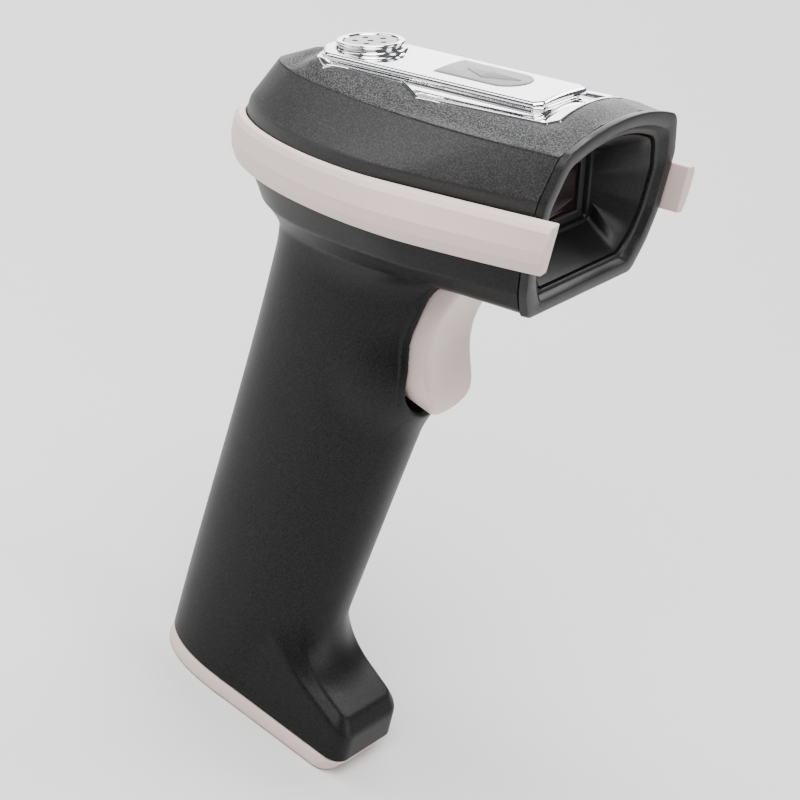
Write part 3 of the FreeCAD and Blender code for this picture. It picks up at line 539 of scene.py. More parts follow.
def tray_corners(grow):
    """The tray's plan: chamfered at the front, narrower behind its waist, with eased rear corners."""
    wide, narrow = TRAY_HALF_W + grow, TRAY_REAR_HALF_W + grow
    rear, front = TRAY_REAR - grow, TRAY_FRONT + grow
    side = [(front, wide - 2.2), (front - 2.2, wide), (TRAY_WAIST_FRONT, wide), (TRAY_WAIST_REAR, narrow)]
    return both_sides(side + [(rear + 6.0, narrow), (rear, narrow * 0.5)])


def half_width(ring, x):
    """How far a ring reaches sideways at a place along the head."""
    nose_w, wide_w, wide_x, rear, nose_z, _ = ring
    if x > wide_x:
        return wide_w - (wide_w - nose_w) * ((x - wide_x) / (nose_x(nose_z) - wide_x)) ** 2
    back = min((wide_x - x) / (wide_x - rear), 1.0)
    return wide_w * (1 - back ** RING_FULLNESS) ** (1 / RING_FULLNESS)


def ring_height(ring, x):
    """How high a ring is at a place along the head."""
    front = nose_x(ring[4])
    return ring[4] + (ring[5] - ring[4]) * (front - x) / (front - ring[3])


def ridge_height(x):
    """Height of the cover along its middle."""
    return np.interp(x, (RIDGE_REAR, nose_x(-9.0)), (-2.4, -8.6))


def raised_crown(x, y, crown):
    """The top panel's height: the rings' crown, lifted round the trim to carry it."""
    rear_dip = 2.6 * max((-2.0 - x) / 10.0, 0.0) ** 2
    seat = TRIM_TOP_Z - x * math.tan(TRIM_PITCH) - rear_dip
    seat -= np.interp(x, (19.5, 55.0), (3.6, 2.3)) * (y / TRAY_HALF_W) ** 2
    low, high = half_width(CROWN_OUTER, x), half_width(CREASE, x)
    outward = np.clip((abs(y) - low) / max(high - low, 0.1), 0, 1)
    share = (1 - outward ** 3) * (1 - smooth_step(56.0, 62.5, x)) * smooth_step(-17.0, -9.0, x)
    return crown + max(seat - crown, 0.0) * share


def on_cover(loop, height):
    """A plan loop laid on the cover's surface, or a set distance above it."""
    placed = []
    for x, y in loop:
        rings = (CROWN_INNER, CROWN_OUTER, CREASE)
        widths = [0.0] + [half_width(ring, x) for ring in rings]
        heights = [ridge_height(x)] + [ring_height(ring, x) for ring in rings]
        placed.append((x, y, raised_crown(x, y, np.interp(abs(y), widths, heights)) + height))
    return placed


def head_top_cover(look):
    """Grained cover: crown, crease, flank and the narrow facet above the soft band."""
    drawn = (CROWN_INNER, CROWN_OUTER, CREASE, SHOULDER, BAND_TOP, PARTING)
    rings = [ring_points(ring, ahead=-SEAM) for ring in drawn]
    ridge = rings[0].copy()
    ridge[:, 1] = 0
    ridge[:, 0] = np.maximum(ridge[:, 0], RIDGE_REAR)
    outer, crease = rings[1], rings[2]
    panel = [ridge, rings[0]] + [outer + (crease - outer) * t for t in np.linspace(0, 0.9, 7)]
    panel = [np.array([(x, y, raised_crown(x, y, z)) for x, y, z in row]) for row in panel]
    before, after = crease + (panel[-1] - crease) * 0.2, crease + (rings[3] - crease) * 0.03
    groove = [before, crease - (0, 0, 0.35), after]
    rows = panel + groove + softened(rings[2:], (1.1, 0.6, 0.4))[1:]
    points, faces = strips(rows, closed_loop=False)
    faces = [face[::-1] for face in faces]
    piece = make_piece("top_cover", head_to_drawing(points), faces, look, "head_top_cover")
    tidy_normals(piece, merge=0.01, closed=False)
    open_tray_room(piece)
    wall = piece.modifiers.new("wall", "SOLIDIFY")
    wall.thickness = WALL * MM
    wall.offset = -1
    settle(piece)
    soften_faces(piece, 40)
    mark_panels(piece)


def open_tray_room(piece):
    """Removes what lies inside the tray's outline, cutting the cover's faces along each side of it."""
    made = bmesh.new()
    made.from_mesh(piece.data)
    outline = tray_corners(0.1)
    for start, end in zip(outline, np.roll(outline, -1, axis=0)):
        spots = head_to_drawing([(*start, 0), (*end, 0), (*start, 9)]) + (SHIFT_X, 0, 0)
        a, b, c = (Vector(spot * MM) for spot in spots)
        away = (b - a).cross(c - a).normalized()
        every = made.verts[:] + made.edges[:] + made.faces[:]
        bmesh.ops.bisect_plane(made, geom=every, dist=1e-7, plane_co=a, plane_no=away)
    gone = []
    for face in made.faces:
        middle = face.calc_center_median() / MM
        x, _ = drawing_to_head(middle.x - SHIFT_X, middle.z)
        if inside_outline(outline, x, middle.y):
            gone.append(face)
    bmesh.ops.delete(made, geom=gone, context="FACES")
    made.to_mesh(piece.data)
    made.free()


def inside_outline(outline, x, y):
    """Whether a closed outline goes round a point."""
    crossings = 0
    for (x0, y0), (x1, y1) in zip(outline, np.roll(outline, -1, axis=0)):
        if (y0 > y) != (y1 > y) and x < x0 + (x1 - x0) * (y - y0) / (y1 - y0):
            crossings += 1
    return crossings % 2 == 1


def mark_panels(piece):
    """Point attribute that is 1 on the coarse-grained top panel, 0.5 on the flank, 0 on the lower facet; it
    also sets how strong the cover's painted glints are.
    """
    co = np.zeros(len(piece.data.vertices) * 3)
    piece.data.vertices.foreach_get("co", co)
    co = co.reshape(-1, 3) / MM
    x, z = drawing_to_head(co[:, 0] - SHIFT_X, co[:, 2])
    value = 0.5 * (z > ring_height(CREASE, x) - 0.05) + 0.5 * (z > ring_height(SHOULDER, x) - 0.05)
    piece.data.attributes.new("panel", "FLOAT", "POINT").data.foreach_set("value", value.astype(np.float32))


def bumper_band(look):
    """Soft band round the head; its ends stand out past the nose."""
    outer = [ring_points(r, ahead=BUMPER_OVERHANG) for r in BUMPER_OUTER]
    inner = [ring_points(r, 0.3, ahead=BUMPER_OVERHANG) for r in (BAND_LOW, PARTING, BAND_TOP)]
    points, faces = strips(outer + inner, closed_rows=True, closed_loop=False)
    length, count = len(outer[0]), len(outer + inner)
    faces.append(tuple(i * length for i in range(count)))
    faces.append(tuple(i * length + length - 1 for i in reversed(range(count))))
    piece = make_piece("bumper", head_to_drawing(points), faces, look, "bumper_band", sharp=6)
    tidy_normals(piece)
    edges = piece.modifiers.new("edges", "BEVEL")
    edges.width = 0.35 * MM
    edges.segments = 3
    edges.limit_method = "ANGLE"
    edges.angle_limit = math.radians(27)
    edges.harden_normals = True
    edges.miter_outer = "MITER_ARC"


# ---- nose ----
def nose_loop(inset, setback):
    """Outline parallel to the nose face, inset from its outer edge; arched along the top."""
    t = inset / NOSE_RIM
    side = (1 - t) * np.array(NOSE_OUTER) + t * np.array(NOSE_INNER)
    loop = rounded_loop(both_sides(side, across=0), NOSE_RADII + NOSE_RADII[::-1], arc=10, edge=14)
    y, z = loop.T
    width, top = side[0]
    arch = NOSE_CROWN * (1 - (y / (width + 0.5)) ** 2) * smooth_step(top - 5.0, top - 0.5, z)
    z = z + np.maximum(arch, 0)
    return np.stack([nose_x(z) - setback, y, z], axis=1)


def nose_bezel(look):
    """Frame round the nose: eased outer edge, flat face, chamfered step down to the groove."""
    profile = [
        (1.9, 6.0), (1.9, 2.2), (0.2, 1.95), (0.15, 0.35), (0.28, 0.1), (0.6, 0.0), (2.75, 0.0),
        (3.0, 0.12), (3.15, 0.4), (3.9, 1.55), (4.2, 1.75), (4.75, 1.8), (4.9, 1.95), (4.9, 6.0),
    ]
    points, faces = strips([nose_loop(inset, setback) for inset, setback in profile], closed_rows=True)
    tidy_normals(make_piece("bezel", head_to_drawing(points), faces, look, "nose_bezel"))


def window_loop(grow, x):
    """Loop round the scan window, point for point with the nose outline."""
    half_w, half_h = WINDOW_HALF_W + grow, WINDOW_HALF_H + grow
    side = [(half_w, height) for height in (half_h, 2.5, -1.0, -4.0, -half_h)]
    radius = max(0.8 + grow * 0.5, 0.4)
    radii = [radius, 2.0, 2.0, 2.0, radius]
    loop = rounded_loop(both_sides(side, across=0), radii + radii[::-1], arc=10, edge=14)
    slope = math.tan(TRIM_PITCH)
    axis_z = WINDOW_Z - (x - WINDOW_X) * slope
    return np.stack([x + loop[:, 1] * slope, loop[:, 0], axis_z + loop[:, 1]], axis=1)


def window_shroud(look):
    """Dull funnel from the groove behind the frame down to the stepped window surround."""
    rim = [nose_loop(5.2, 6.0), nose_loop(5.2, 2.75), nose_loop(5.35, 2.6), nose_loop(5.9, 3.4)]
    near, throat = rim[-1], window_loop(1.9, WINDOW_X + 1.6)
    wall = [near + (throat - near) * t for t in (0.15, 0.3, 0.45, 0.6, 0.75, 0.9, 1.0)]
    surround = [
        (1.7, 1.2), (0.9, 1.1), (0.8, 0.9), (0.6, 0.1), (-0.6, 0.0), (-0.6, -1.5), (2.0, -1.5), (3.2, 0.4),
    ]
    steps = [window_loop(grow, WINDOW_X + ahead) for grow, ahead in surround]
    points, faces = strips(rim + wall + steps, closed_rows=True)
    tidy_normals(make_piece("funnel", head_to_drawing(points), faces, look, "window_shroud", sharp=28))


def scan_window(look):
    """Flat window with an eased front edge, behind the end of the funnel."""
    profile = [(0.0, 1.9), (0.0, 0.75), (-0.2, 0.6)]
    points, faces = stack([window_loop(grow, WINDOW_X - behind) for grow, behind in profile])
    tidy_normals(make_piece("window", head_to_drawing(points), faces, look, "scan_window"))


# ---- bright trim ----
def trim_tray(look):
    """Bright dish let into the cover: flush rim, sloping wall, floor that follows the crown."""
    profile = [
        (-0.05, -3.2), (-0.05, -0.2), (-0.12, 0.06), (-0.35, 0.16), (-0.7, 0.1), (-0.9, -0.15),
        (-1.35, -1.15), (-1.7, -1.35), (-2.4, -1.4), (-3.4, -1.4), (-4.6, -1.4), (-6.5, -1.4),
    ]
    rows = []
    for grow, height in profile:
        outline = rounded_loop(tray_corners(grow), TRAY_RADII + TRAY_RADII[::-1], edge=16)
        rows.append(on_cover(outline, height))
    points, faces = stack(rows)
    tidy_normals(make_piece("tray", head_to_drawing(points), faces, look, "trim_tray"))


def plate_loop(grow, height, crown):
    """The plate's outline: chamfered at the front, tapered at the rear."""
    wide, rear, front = PLATE_HALF_W + grow, PLATE_REAR - grow, PLATE_FRONT + grow
    side = [(front, wide - 1.6), (front - 1.6, wide), (rear + 3.5, wide), (rear, wide * 0.55)]
    return level(rounded_loop(both_sides(side), PLATE_RADII + PLATE_RADII[::-1], edge=30), height, crown)


def trim_plate(look):
    """Polished plate, gently crowned, on a waisted stem with a spreading foot."""
    stem = [(1.2, -6.0), (0.6, -3.6), (0.25, -2.7), (-0.75, -2.35), (-1.05, -2.0), (-1.0, -1.7)]
    rim = [(-0.4, -1.4), (-0.05, -1.1), (0.0, -0.75)]
    rows = [plate_loop(grow, height, 0.0) for grow, height in stem + rim]
    rows += [plate_loop(-0.08, -0.35, 0.2), plate_loop(-0.3, -0.1, 0.5)]
    rows += [plate_loop(-inset, 0.0, PLATE_CROWN) for inset in (0.7, 1.3, 2.2, 3.2, 4.2, 5.2, 6.2, 7.0)]
    points, faces = stack(rows)
    tidy_normals(make_piece("plate", trim_to_drawing(points), faces, look, "trim_plate", sharp=60))


def lens_loop(grow, height):
    """The indicator's outline: straight behind, round in front."""
    rear, middle, half = LENS_REAR - grow, LENS_MIDDLE, LENS_HALF_W + grow
    turn = np.linspace(-1.45, 1.45, 31)
    front = [(middle + half * 0.85 * math.cos(a), half * math.sin(a)) for a in turn]
    line = np.linspace(0, 1, 16)[1:-1]
    left = [(middle + (rear - middle) * t, half) for t in line]
    back = [(rear, half * (1 - 2 * t)) for t in np.linspace(0, 1, 13)]
    right = [(rear + (middle - rear) * t, -half) for t in line]
    return level(np.array(front + left + back + right), height, PLATE_CROWN)


def kite_loop(grow, height):
    """Outline of the kite on the indicator, its long end forward."""
    half, tip, tail = KITE_HALF_W + grow, KITE_TIP + grow * 2, KITE_TAIL - grow * 2
    corners = [(tip, 0.0), (KITE_MIDDLE, half), (tail, 0.0), (KITE_MIDDLE, -half)]
    return level(rounded_loop(corners, [0.5] * 4, arc=4, edge=12), height, PLATE_CROWN)


def indicator_lens(look):
    """Satin grey indicator with a raised kite."""
    profile = [(0.0, -1.0), (0.0, 0.02), (-0.1, 0.14), (-0.35, 0.2), (-0.8, 0.2), (-1.6, 0.2), (-2.6, 0.2),
               (-3.8, 0.2), (-5.0, 0.2)]
    points, faces = stack([lens_loop(grow, height) for grow, height in profile])
    raised = [(0.0, 0.1), (0.0, 0.24), (-0.12, 0.32), (-1.5, 0.5), (-2.9, 0.66)]
    more, more_faces = stack([kite_loop(grow, height) for grow, height in raised])
    faces += [tuple(i + len(points) for i in face) for face in more_faces]
    points = trim_to_drawing(np.concatenate([points, more]))
    tidy_normals(make_piece("indicator", points, faces, look, "indicator_lens", sharp=25))


def buzzer_ring(look):
    """Stepped bright ring: rolled lip, neck and spreading foot."""
    profile = [
        (5.95, -2.6), (5.95, -0.5), (6.02, -0.28), (6.2, -0.1), (6.45, 0.02), (6.9, 0.05), (7.3, 0.0),
        (7.52, -0.12), (7.62, -0.35), (7.55, -0.6), (7.3, -0.78), (6.95, -0.9), (6.85, -1.05),
        (6.9, -1.25), (7.3, -1.4), (7.9, -1.5), (8.15, -1.68), (8.2, -1.95), (8.2, -2.6),
    ]
    points, faces = strips(lathe(profile, 160), closed_rows=True)
    tidy_normals(make_piece("ring", head_to_drawing(points), faces, look, "buzzer_ring", sharp=60))


def buzzer_grille(look):
    """Slightly dished satin disc with a middle hole and five round it."""
    profile = [
        (0.02, -1.3), (5.8, -1.3), (5.8, -0.42), (5.72, -0.3), (5.5, -0.26), (4.6, -0.3), (3.0, -0.34),
        (1.2, -0.36), (0.02, -0.36),
    ]
    points, faces = strips(lathe(profile, 96), closed_rows=True)
    piece = make_piece("grille", head_to_drawing(points), faces, look, "buzzer_grille")
    tidy_normals(piece, merge=0.05)
    turns = [2 * math.pi * i / 5 for i in range(5)]
    spots = [(0.0, 0.0)] + [(SOUND_HOLES_AT * math.cos(a), SOUND_HOLES_AT * math.sin(a)) for a in turns]
    hole, hole_faces = stack(lathe([(SOUND_HOLE_R, -3.0), (SOUND_HOLE_R, 2.0)], 32))
    for x, y in spots:
        carve(piece, head_to_drawing(hole + (x, y, 0.0)), hole_faces, "sound_hole")
    soften_faces(piece, 30)


# ---- trigger ----
def box_field(x, y, z, low, high):
    """A box between two corners, mirrored across the middle plane."""
    inside = [np.maximum(a - value, value - b) for value, a, b in zip((x, np.abs(y), z), low, high)]
    return np.maximum(np.maximum(inside[0], inside[1]), inside[2])


def trigger_field(x, y, z):
    """Lever, hinge boss, the arms between them, switch nub and spring spigot, less the pin's hole."""
    heights = np.arange(88.0, 133.0, 0.5)
    face = np.interp(heights, TRIGGER_FRONT[:, 0], TRIGGER_FRONT[:, 1])
    face = np.convolve(np.pad(face, 5, "edge"), np.ones(11) / 11, "valid")
    scoop = SCOOP_RIDGE - SCOOP_DEPTH * (1 - np.minimum(np.abs(y) / SCOOP_HALF_W, 1.0) ** 2)
    front = np.interp(z, heights, face) + scoop
    outline = np.where(z < TRIG_CENTRE_Z, np.hypot(y, z - TRIG_CENTRE_Z), np.abs(y)) - TRIG_HALF_W
    lever = round_max((x - front) * 0.93, outline, 1.5)
    head_z = drawing_to_head(x, z)[1]
    lever = round_max(round_max(lever, TRIG_BACK_X - x, 0.5), head_z - TRIG_TOP_Z, 0.6)
    from_pin = np.hypot(x - PIVOT_X, z - PIVOT_Z)
    boss = np.maximum(from_pin - BOSS_R, np.abs(y) - TRIG_HALF_W)
    arm_low, arm_high = (PIVOT_X, TRIG_HALF_W - 2.0, PIVOT_Z - 3.0), (13.0, TRIG_HALF_W, PIVOT_Z + 2.0)
    arms = box_field(x, y, z, arm_low, arm_high)
    nub = box_field(x, y, z, (1.95, -1.4, NUB_Z - 1.5), (13.0, 1.4, NUB_Z + 1.5))
    spigot = np.maximum(np.hypot(y, z - SPIGOT_Z) - SPIGOT_R, np.maximum(7.0 - x, x - 14.0))
    whole = np.minimum(np.minimum(lever, boss), np.minimum(np.minimum(arms, nub), spigot))
    return np.maximum(whole, PIN_HOLE_R - from_pin)


def trigger(look):
    """Scooped finger lever with a rounded lip, and what it carries behind the slot."""
    cell = 0.4
    points, faces = net(trigger_field, (0.5, -10.4, 91.0), (28.0, 10.4, 134.0), cell)
    make_piece("trigger_lever", points, faces.tolist(), look, "trigger", sharp=50, body="trigger")


# ---- foot ----
def foot_loop(inset, height):
    """The shell's own outline at the rim, found along rays from inside the foot."""
    count = 220
    angles = np.linspace(0, 2 * math.pi, count, endpoint=False)
    low, high = np.zeros(count), np.full(count, 45.0)
    at = np.full(count, RIM_Z + 0.15)
    for _ in range(30):
        middle = (low + high) / 2
        inside = shell_field(FOOT_MIDDLE_X + middle * np.cos(angles), middle * np.sin(angles), at) < 0
        low, high = np.where(inside, middle, low), np.where(inside, high, middle)
    loop = np.stack([FOOT_MIDDLE_X + low * np.cos(angles), low * np.sin(angles)], axis=1)
    if inset:
        along = np.roll(loop, -1, axis=0) - np.roll(loop, 1, axis=0)
        normal = np.stack([along[:, 1], -along[:, 0]], axis=1)
        loop = loop - inset * normal / np.linalg.norm(normal, axis=1, keepdims=True)
    return level(loop, height)


def base_cap(look):
    """Pale foot cap: eased lower edge, upright rim, lip inside the shell; slot and screw wells below."""
    profile = [
        (1.1, 0.0), (0.55, 0.12), (0.15, 0.45), (0.02, 0.95), (0.0, CAP_RIM_Z), (0.12, 4.3), (0.4, 4.38),
        (2.2, 4.4), (2.3, 7.5), (4.1, 7.5), (4.1, 2.4),
    ]
    rows = [foot_loop(inset, height) for inset, height in profile]
    for row, (_, height) in zip(rows, profile):
        row[:, 0] -= CAP_LEAN * smooth_step(32.0, 41.0, row[:, 0]) * max(1 - height / CAP_RIM_Z, 0.0)
    points, faces = stack(rows)
    piece = make_piece("foot_cap", points, faces, look, "base_cap")
    tidy_normals(piece)
    side = [(PORT_X + PORT_HALF_W, PORT_HALF_L), (PORT_X - PORT_HALF_W, PORT_HALF_L)]
    slot = rounded_loop(both_sides(side), [PORT_CORNER] * 4)
    tool, tool_faces = stack([level(slot, -1.0), level(slot, 9.0)])
    carve(piece, tool, tool_faces, "port_slot")
    for x in BASE_SCREWS_X:
        drill(piece, SCREW_WELL_R, -1.0, 2.0, (x, 0.0))
        drill(piece, SCREW_HOLE_R, -1.0, 9.0, (x, 0.0))
    soften_faces(piece, 35)


# ---- materials ----
class Look:
    """A procedural material: one shader, with grain and wear linked into it."""

    def __init__(self, slot, colour, roughness, **sockets):
        self.slot, self.normal = slot, None
        self.material = bpy.data.materials.new(slot)
        self.material.use_nodes = True
        self.nodes = self.material.node_tree.nodes
        self.links = self.material.node_tree.links
        self.shader = self.nodes["Principled BSDF"]
        self.place = self.nodes.new("ShaderNodeTexCoord").outputs["Object"]
        self.colour, self.roughness = colour, roughness
        self.shader.inputs["Base Color"].default_value = (*colour, 1)
        self.shader.inputs["Roughness"].default_value = roughness
        for socket, value in sockets.items():
            self.shader.inputs[socket.replace("_", " ")].default_value = value

    def noise(self, scale, detail=2.0, stretch=None):
        """Soft grain: the scale is cycles per metre."""
        place = self.place
        if stretch:
            mapping = self.nodes.new("ShaderNodeMapping")
            mapping.inputs["Scale"].default_value = stretch
            self.links.new(place, mapping.inputs["Vector"])
            place = mapping.outputs["Vector"]
        node = self.nodes.new("ShaderNodeTexNoise")
        node.inputs["Scale"].default_value = scale
        node.inputs["Detail"].default_value = detail
        self.links.new(place, node.inputs["Vector"])
        return node.outputs["Fac"]

    def cells(self, scale):
        node = self.nodes.new("ShaderNodeTexVoronoi")
        node.feature = "SMOOTH_F1"
        node.inputs["Scale"].default_value = scale
        node.inputs["Smoothness"].default_value = 0.6
        self.links.new(self.place, node.inputs["Vector"])
        return node.outputs["Distance"]

    def attribute(self, name):
        node = self.nodes.new("ShaderNodeAttribute")
        node.attribute_name = name
        return node.outputs["Fac"]

    def mapped(self, value, low, high, start=0.3, end=0.7):
        """A value between start and end, spread to between low and high."""
        node = self.nodes.new("ShaderNodeMapRange")
        for socket, number in (("From Min", start), ("From Max", end), ("To Min", low), ("To Max", high)):
            node.inputs[socket].default_value = number
        self.links.new(value, node.inputs["Value"])
        return node.outputs["Result"]

    def times(self, a, b):
        node = self.nodes.new("ShaderNodeMath")
        node.operation = "MULTIPLY"
        self.links.new(a, node.inputs[0])
        self.links.new(b, node.inputs[1])
        return node.outputs["Value"]

    def tint(self, factor, other, low=0.0, high=1.0, start=0.35, end=0.65):
        """Varies the base colour towards another one where a factor is high."""
        mix = self.nodes.new("ShaderNodeMix")
        mix.data_type = "RGBA"
        mix.inputs["A"].default_value = (*self.colour, 1)
        mix.inputs["B"].default_value = (*other, 1)
        self.links.new(self.mapped(factor, low, high, start, end), mix.inputs["Factor"])
        self.links.new(mix.outputs["Result"], self.shader.inputs["Base Color"])

    def rub(self, factor, low, high):
        """Varies the roughness between two values."""
        self.links.new(self.mapped(factor, low, high), self.shader.inputs["Roughness"])

    def bump(self, height, depth_mm, strength=1.0, strength_from=None):
        """Adds relief on top of the relief already there."""
        node = self.nodes.new("ShaderNodeBump")
        node.inputs["Distance"].default_value = depth_mm * MM
        node.inputs["Strength"].default_value = strength
        if strength_from is not None:
            self.links.new(strength_from, node.inputs["Strength"])
        self.links.new(height, node.inputs["Height"])
        if self.normal is not None:
            self.links.new(self.normal, node.inputs["Normal"])
        self.normal = node.outputs["Normal"]
        self.links.new(self.normal, self.shader.inputs["Normal"])


def grip_black():
    look = Look("grip_black", (0.003, 0.003, 0.0032), 0.38, Specular_IOR_Level=0.14)
    look.rub(look.noise(45, 5), 0.36, 0.44)
    look.tint(look.noise(2600, 2), (0.012, 0.012, 0.0123), 0, 0.8)
    look.bump(look.noise(2600, 2), 0.05, 0.8)
    look.bump(look.noise(500, 2), 0.02, 0.12)
    return look


def cover_black():
    look = Look("cover_black", (0.009, 0.009, 0.0093), 0.42, Specular_IOR_Level=0.3)
    panel = look.attribute("panel")
    look.rub(look.noise(60, 5), 0.40, 0.48)
    coarse = look.mapped(panel, 0.0, 1.0, 0.55, 0.95)
    fine = look.mapped(panel, 0.25, 0.6, 0.0, 0.5)
    # painted glints: light specks mixed into the base colour stand in for specular glints off the grain;
    # strong on the top panel, weaker on the flank and faint on the lower facet, so the top reads lighter
    painted_glints = look.mapped(look.noise(3000, 3), 0.0, 1.0, 0.46, 0.60)
    painted_glints = look.times(painted_glints, look.mapped(panel, 0.1, 1.0, 0.4, 1.0))
    look.tint(painted_glints, (0.080, 0.080, 0.082), 0, 1, 0, 1)
    look.bump(look.noise(1700, 3), 0.11, 0.9, coarse)
    look.bump(look.noise(3600, 2), 0.035, 0.6, fine)
    return look


def bezel_black():
    look = Look("bezel_black", (0.005, 0.005, 0.0053), 0.38, Specular_IOR_Level=0.25)
    look.rub(look.noise(80, 5), 0.34, 0.42)
    look.tint(look.noise(2600, 2), (0.014, 0.014, 0.0145))
    look.bump(look.noise(3400, 2), 0.03, 0.6)
    return look


def shroud_black():
    look = Look("shroud_black", (0.005, 0.005, 0.0053), 0.40, Specular_IOR_Level=0.28)
    look.rub(look.noise(70, 4), 0.36, 0.46)
    look.tint(look.noise(2800, 2), (0.011, 0.011, 0.0115))
    look.bump(look.noise(3000, 3), 0.04, 0.6)
    return look


def blush_soft():
    look = Look("blush_soft", (0.60, 0.475, 0.455), 0.42, Specular_IOR_Level=0.45, Subsurface_Weight=0.08,
                Subsurface_Scale=0.002)
    look.rub(look.noise(50, 5), 0.38, 0.47)
    look.tint(look.noise(30, 4), (0.62, 0.495, 0.475))
    look.bump(look.noise(3000, 2), 0.015, 0.4)
    look.bump(look.noise(160, 3), 0.02, 0.1)
    return look


def blush_plastic():
    look = Look("blush_plastic", (0.60, 0.475, 0.455), 0.36, Specular_IOR_Level=0.5, Subsurface_Weight=0.05,
                Subsurface_Scale=0.002)
    look.rub(look.noise(45, 5), 0.32, 0.41)
    look.tint(look.noise(28, 4), (0.62, 0.495, 0.475))
    look.bump(look.noise(2600, 2), 0.012, 0.35)
    return look


def bright_trim():
    look = Look("bright_trim", (0.86, 0.86, 0.87), 0.05, Metallic=1.0)
    look.rub(look.noise(120, 5), 0.035, 0.08)
    look.tint(look.noise(60, 3), (0.80, 0.80, 0.815))
    look.bump(look.noise(60, 2), 0.002, 0.1)
    return look


def grille_metal():
    look = Look("grille_metal", (0.36, 0.36, 0.365), 0.36, Metallic=1.0)
    look.rub(look.noise(1400, 3), 0.32, 0.44)
    look.tint(look.noise(90, 3), (0.31, 0.31, 0.315))
    look.bump(look.noise(3000, 2), 0.01, 0.4)
    return look


def lens_smoke():
    look = Look("lens_smoke", (0.10, 0.10, 0.102), 0.33, Specular_IOR_Level=0.5)
    look.rub(look.noise(200, 4), 0.30, 0.38)
    look.tint(look.noise(80, 3), (0.12, 0.12, 0.122))
    look.bump(look.noise(3500, 2), 0.006, 0.3)
    return look


def window_red():
    look = Look("window_red", (0.012, 0.006, 0.007), 0.06, Specular_IOR_Level=0.6, Coat_Weight=0.5,
                Coat_Roughness=0.03)
    look.rub(look.noise(60, 4), 0.05, 0.10)
    look.tint(look.noise(25, 2), (0.016, 0.007, 0.008))
    return look


def simple_plastic(name, colour, roughness, grain=2500):
    look = Look(name, colour, roughness)
    look.rub(look.noise(90, 4), roughness * 0.85, min(roughness * 1.15, 1))
    look.tint(look.noise(60, 3), tuple(c * 0.85 for c in colour))
    look.bump(look.noise(grain, 2), 0.02, 0.4)
    return look


def simple_metal(name, colour, roughness):
    look = Look(name, colour, roughness, Metallic=1.0)
    stretch = (1, 1, 12)
    look.rub(look.noise(1200, 3, stretch), roughness * 0.7, min(roughness * 1.3, 1))
    look.tint(look.noise(150, 3), tuple(c * 0.8 for c in colour))
    look.bump(look.noise(1500, 2, stretch), 0.01, 0.3)
    return look


def clear_plastic(name, colour, roughness, transmission):
    look = Look(name, colour, roughness, Transmission_Weight=transmission, IOR=1.5)
    look.rub(look.noise(150, 3), roughness, roughness + 0.08)
    look.bump(look.noise(400, 2), 0.01, 0.15)
    return look


def board_green():
    look = Look("board_green", (0.01, 0.07, 0.025), 0.35, Coat_Weight=0.3)
    look.rub(look.noise(300, 3), 0.28, 0.42)
    look.tint(look.cells(420), (0.02, 0.12, 0.045), 0, 1, 0.2, 0.5)
    look.bump(look.cells(420), 0.02, 0.3)
    return look


# colour and roughness of the plain finishes inside, by material slot
INNER_PLASTICS = {
    "gasket_foam": ((0.02, 0.02, 0.02), 0.9, 1200),
    "chip_black": ((0.012, 0.012, 0.012), 0.55),
    "engine_black": ((0.015, 0.015, 0.015), 0.6),
    "led_white": ((0.85, 0.83, 0.7), 0.3),
    "flex_amber": ((0.5, 0.2, 0.03), 0.3),
    "cell_wrap": ((0.03, 0.1, 0.35), 0.25),
    "holder_white": ((0.7, 0.7, 0.67), 0.5),
    "wire_red": ((0.45, 0.02, 0.02), 0.45),
    "switch_black": ((0.014, 0.014, 0.014), 0.5),
    "plunger_white": ((0.75, 0.75, 0.73), 0.4),
}
INNER_METALS = {
    "shield_steel": ((0.62, 0.62, 0.63), 0.3),
    "screw_steel": ((0.55, 0.55, 0.56), 0.3),
    "spring_steel": ((0.6, 0.6, 0.62), 0.2),
}


def inner_looks():
    """Finishes of the works inside, by material slot."""
    looks = [board_green()]
    looks.append(clear_plastic("light_clear", (0.9, 0.9, 0.9), 0.12, 0.9))
    looks.append(clear_plastic("lens_glass", (0.5, 0.55, 0.8), 0.02, 0.8))
    looks += [simple_plastic(slot, *finish) for slot, finish in INNER_PLASTICS.items()]
    looks += [simple_metal(slot, *finish) for slot, finish in INNER_METALS.items()]
    return {look.slot: look for look in looks}


def dress_cad_nodes():
    """Gives every CAD node that stays visible its slot's material."""
    looks = inner_looks()
    for part in frame["record"]["subparts"]:
        node = frame["nodes"][part["node"]]
        if node.hide_render or part["material_slot"] not in looks:
            continue
        node.data.materials.clear()
        node.data.materials.append(looks[part["material_slot"]].material)


# ---- studio ----
MIDDLE = (0.0, 0.0, 0.11)             # of the object, in metres
AZIMUTH, ELEVATION, ROLL = 23.94, 30.60, 22.99
FOCAL_LENGTH, DISTANCE = 132.57, 0.6364


def area_light(name, place, size, power):
    """A soft rectangular light, in metres and watts, aimed at the middle of the object."""
    lamp = bpy.data.lights.new(name, "AREA")
    lamp.shape = "RECTANGLE"
    lamp.size, lamp.size_y = size
    lamp.energy = power
    light = bpy.data.objects.new(name, lamp)
    light.location = place
    light.rotation_euler = (Vector(MIDDLE) - Vector(place)).to_track_quat("-Z", "Y").to_euler()
    bpy.context.scene.collection.objects.link(light)


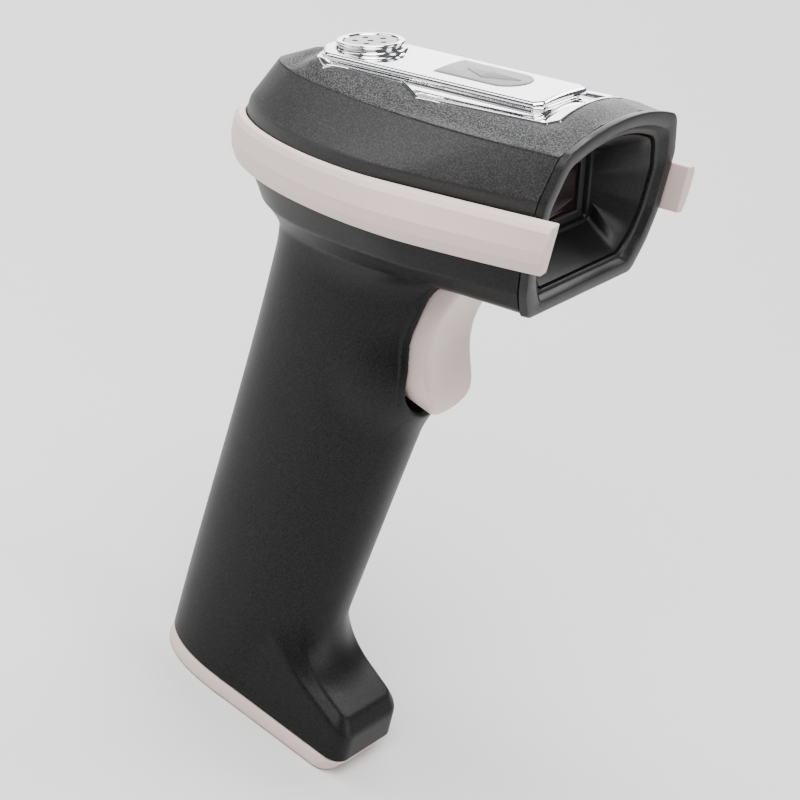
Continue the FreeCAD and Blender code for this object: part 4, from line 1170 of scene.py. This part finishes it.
def floor():
    look = Look("floor_paper", (0.66, 0.66, 0.655), 0.7)
    look.rub(look.noise(6, 3), 0.65, 0.75)
    look.tint(look.noise(4, 3), (0.64, 0.64, 0.635))
    mesh = bpy.data.meshes.new("floor")
    mesh.from_pydata([(-4, -4, 0), (4, -4, 0), (4, 4, 0), (-4, 4, 0)], [], [(0, 1, 2, 3)])
    mesh.materials.append(look.material)
    ground = bpy.data.objects.new("floor", mesh)
    bpy.context.scene.collection.objects.link(ground)


def studio():
    """Pale floor, six soft lights and a dim sky."""
    floor()
    area_light("overhead", (-0.15, -0.15, 1.0), (0.8, 0.6), 20)
    area_light("behind", (-0.7, 0.95, 0.38), (1.0, 0.8), 13)
    area_light("high behind", (0.1, 0.95, 0.8), (0.6, 0.35), 7)
    area_light("left", (-0.8, -0.35, 0.6), (0.4, 0.8), 6)
    area_light("right", (0.8, 0.25, 0.4), (0.3, 0.9), 5)
    area_light("front", (0.15, -0.65, 0.85), (0.7, 0.3), 7)
    world = bpy.data.worlds.new("studio")
    world.use_nodes = True
    world.node_tree.nodes["Background"].inputs["Color"].default_value = (0.9, 0.92, 0.95, 1)
    world.node_tree.nodes["Background"].inputs["Strength"].default_value = 0.16
    bpy.context.scene.world = world


def camera():
    """Looks down at a point beside the trigger from the front right, rolled about its line of sight."""
    lens = bpy.data.cameras.new("camera")
    lens.lens, lens.sensor_width = FOCAL_LENGTH, 36
    view = bpy.data.objects.new("camera", lens)
    azimuth, elevation, roll = (math.radians(angle) for angle in (AZIMUTH, ELEVATION, ROLL))
    across = math.cos(elevation)
    back = Vector((math.sin(azimuth) * across, -math.cos(azimuth) * across, math.sin(elevation)))
    aim = Vector(((22.0 + SHIFT_X) * MM, -0.0175, 0.1003))
    view.location = aim + back * DISTANCE
    turn = (-back).to_track_quat("-Z", "Y").to_matrix() @ Matrix.Rotation(roll, 3, "Z")
    view.rotation_euler = turn.to_euler()
    bpy.context.scene.collection.objects.link(view)
    bpy.context.scene.camera = view


# ---- build ----
def build():
    black, blush, bright = grip_black(), blush_plastic(), bright_trim()
    body_shell(black)
    head_top_cover(cover_black())
    bumper_band(blush_soft())
    nose_bezel(bezel_black())
    window_shroud(shroud_black())
    scan_window(window_red())
    trim_tray(bright)
    trim_plate(bright)
    indicator_lens(lens_smoke())
    buzzer_ring(bright)
    buzzer_grille(grille_metal())
    trigger(blush)
    base_cap(blush)
    dress_cad_nodes()


build()
studio()
camera()
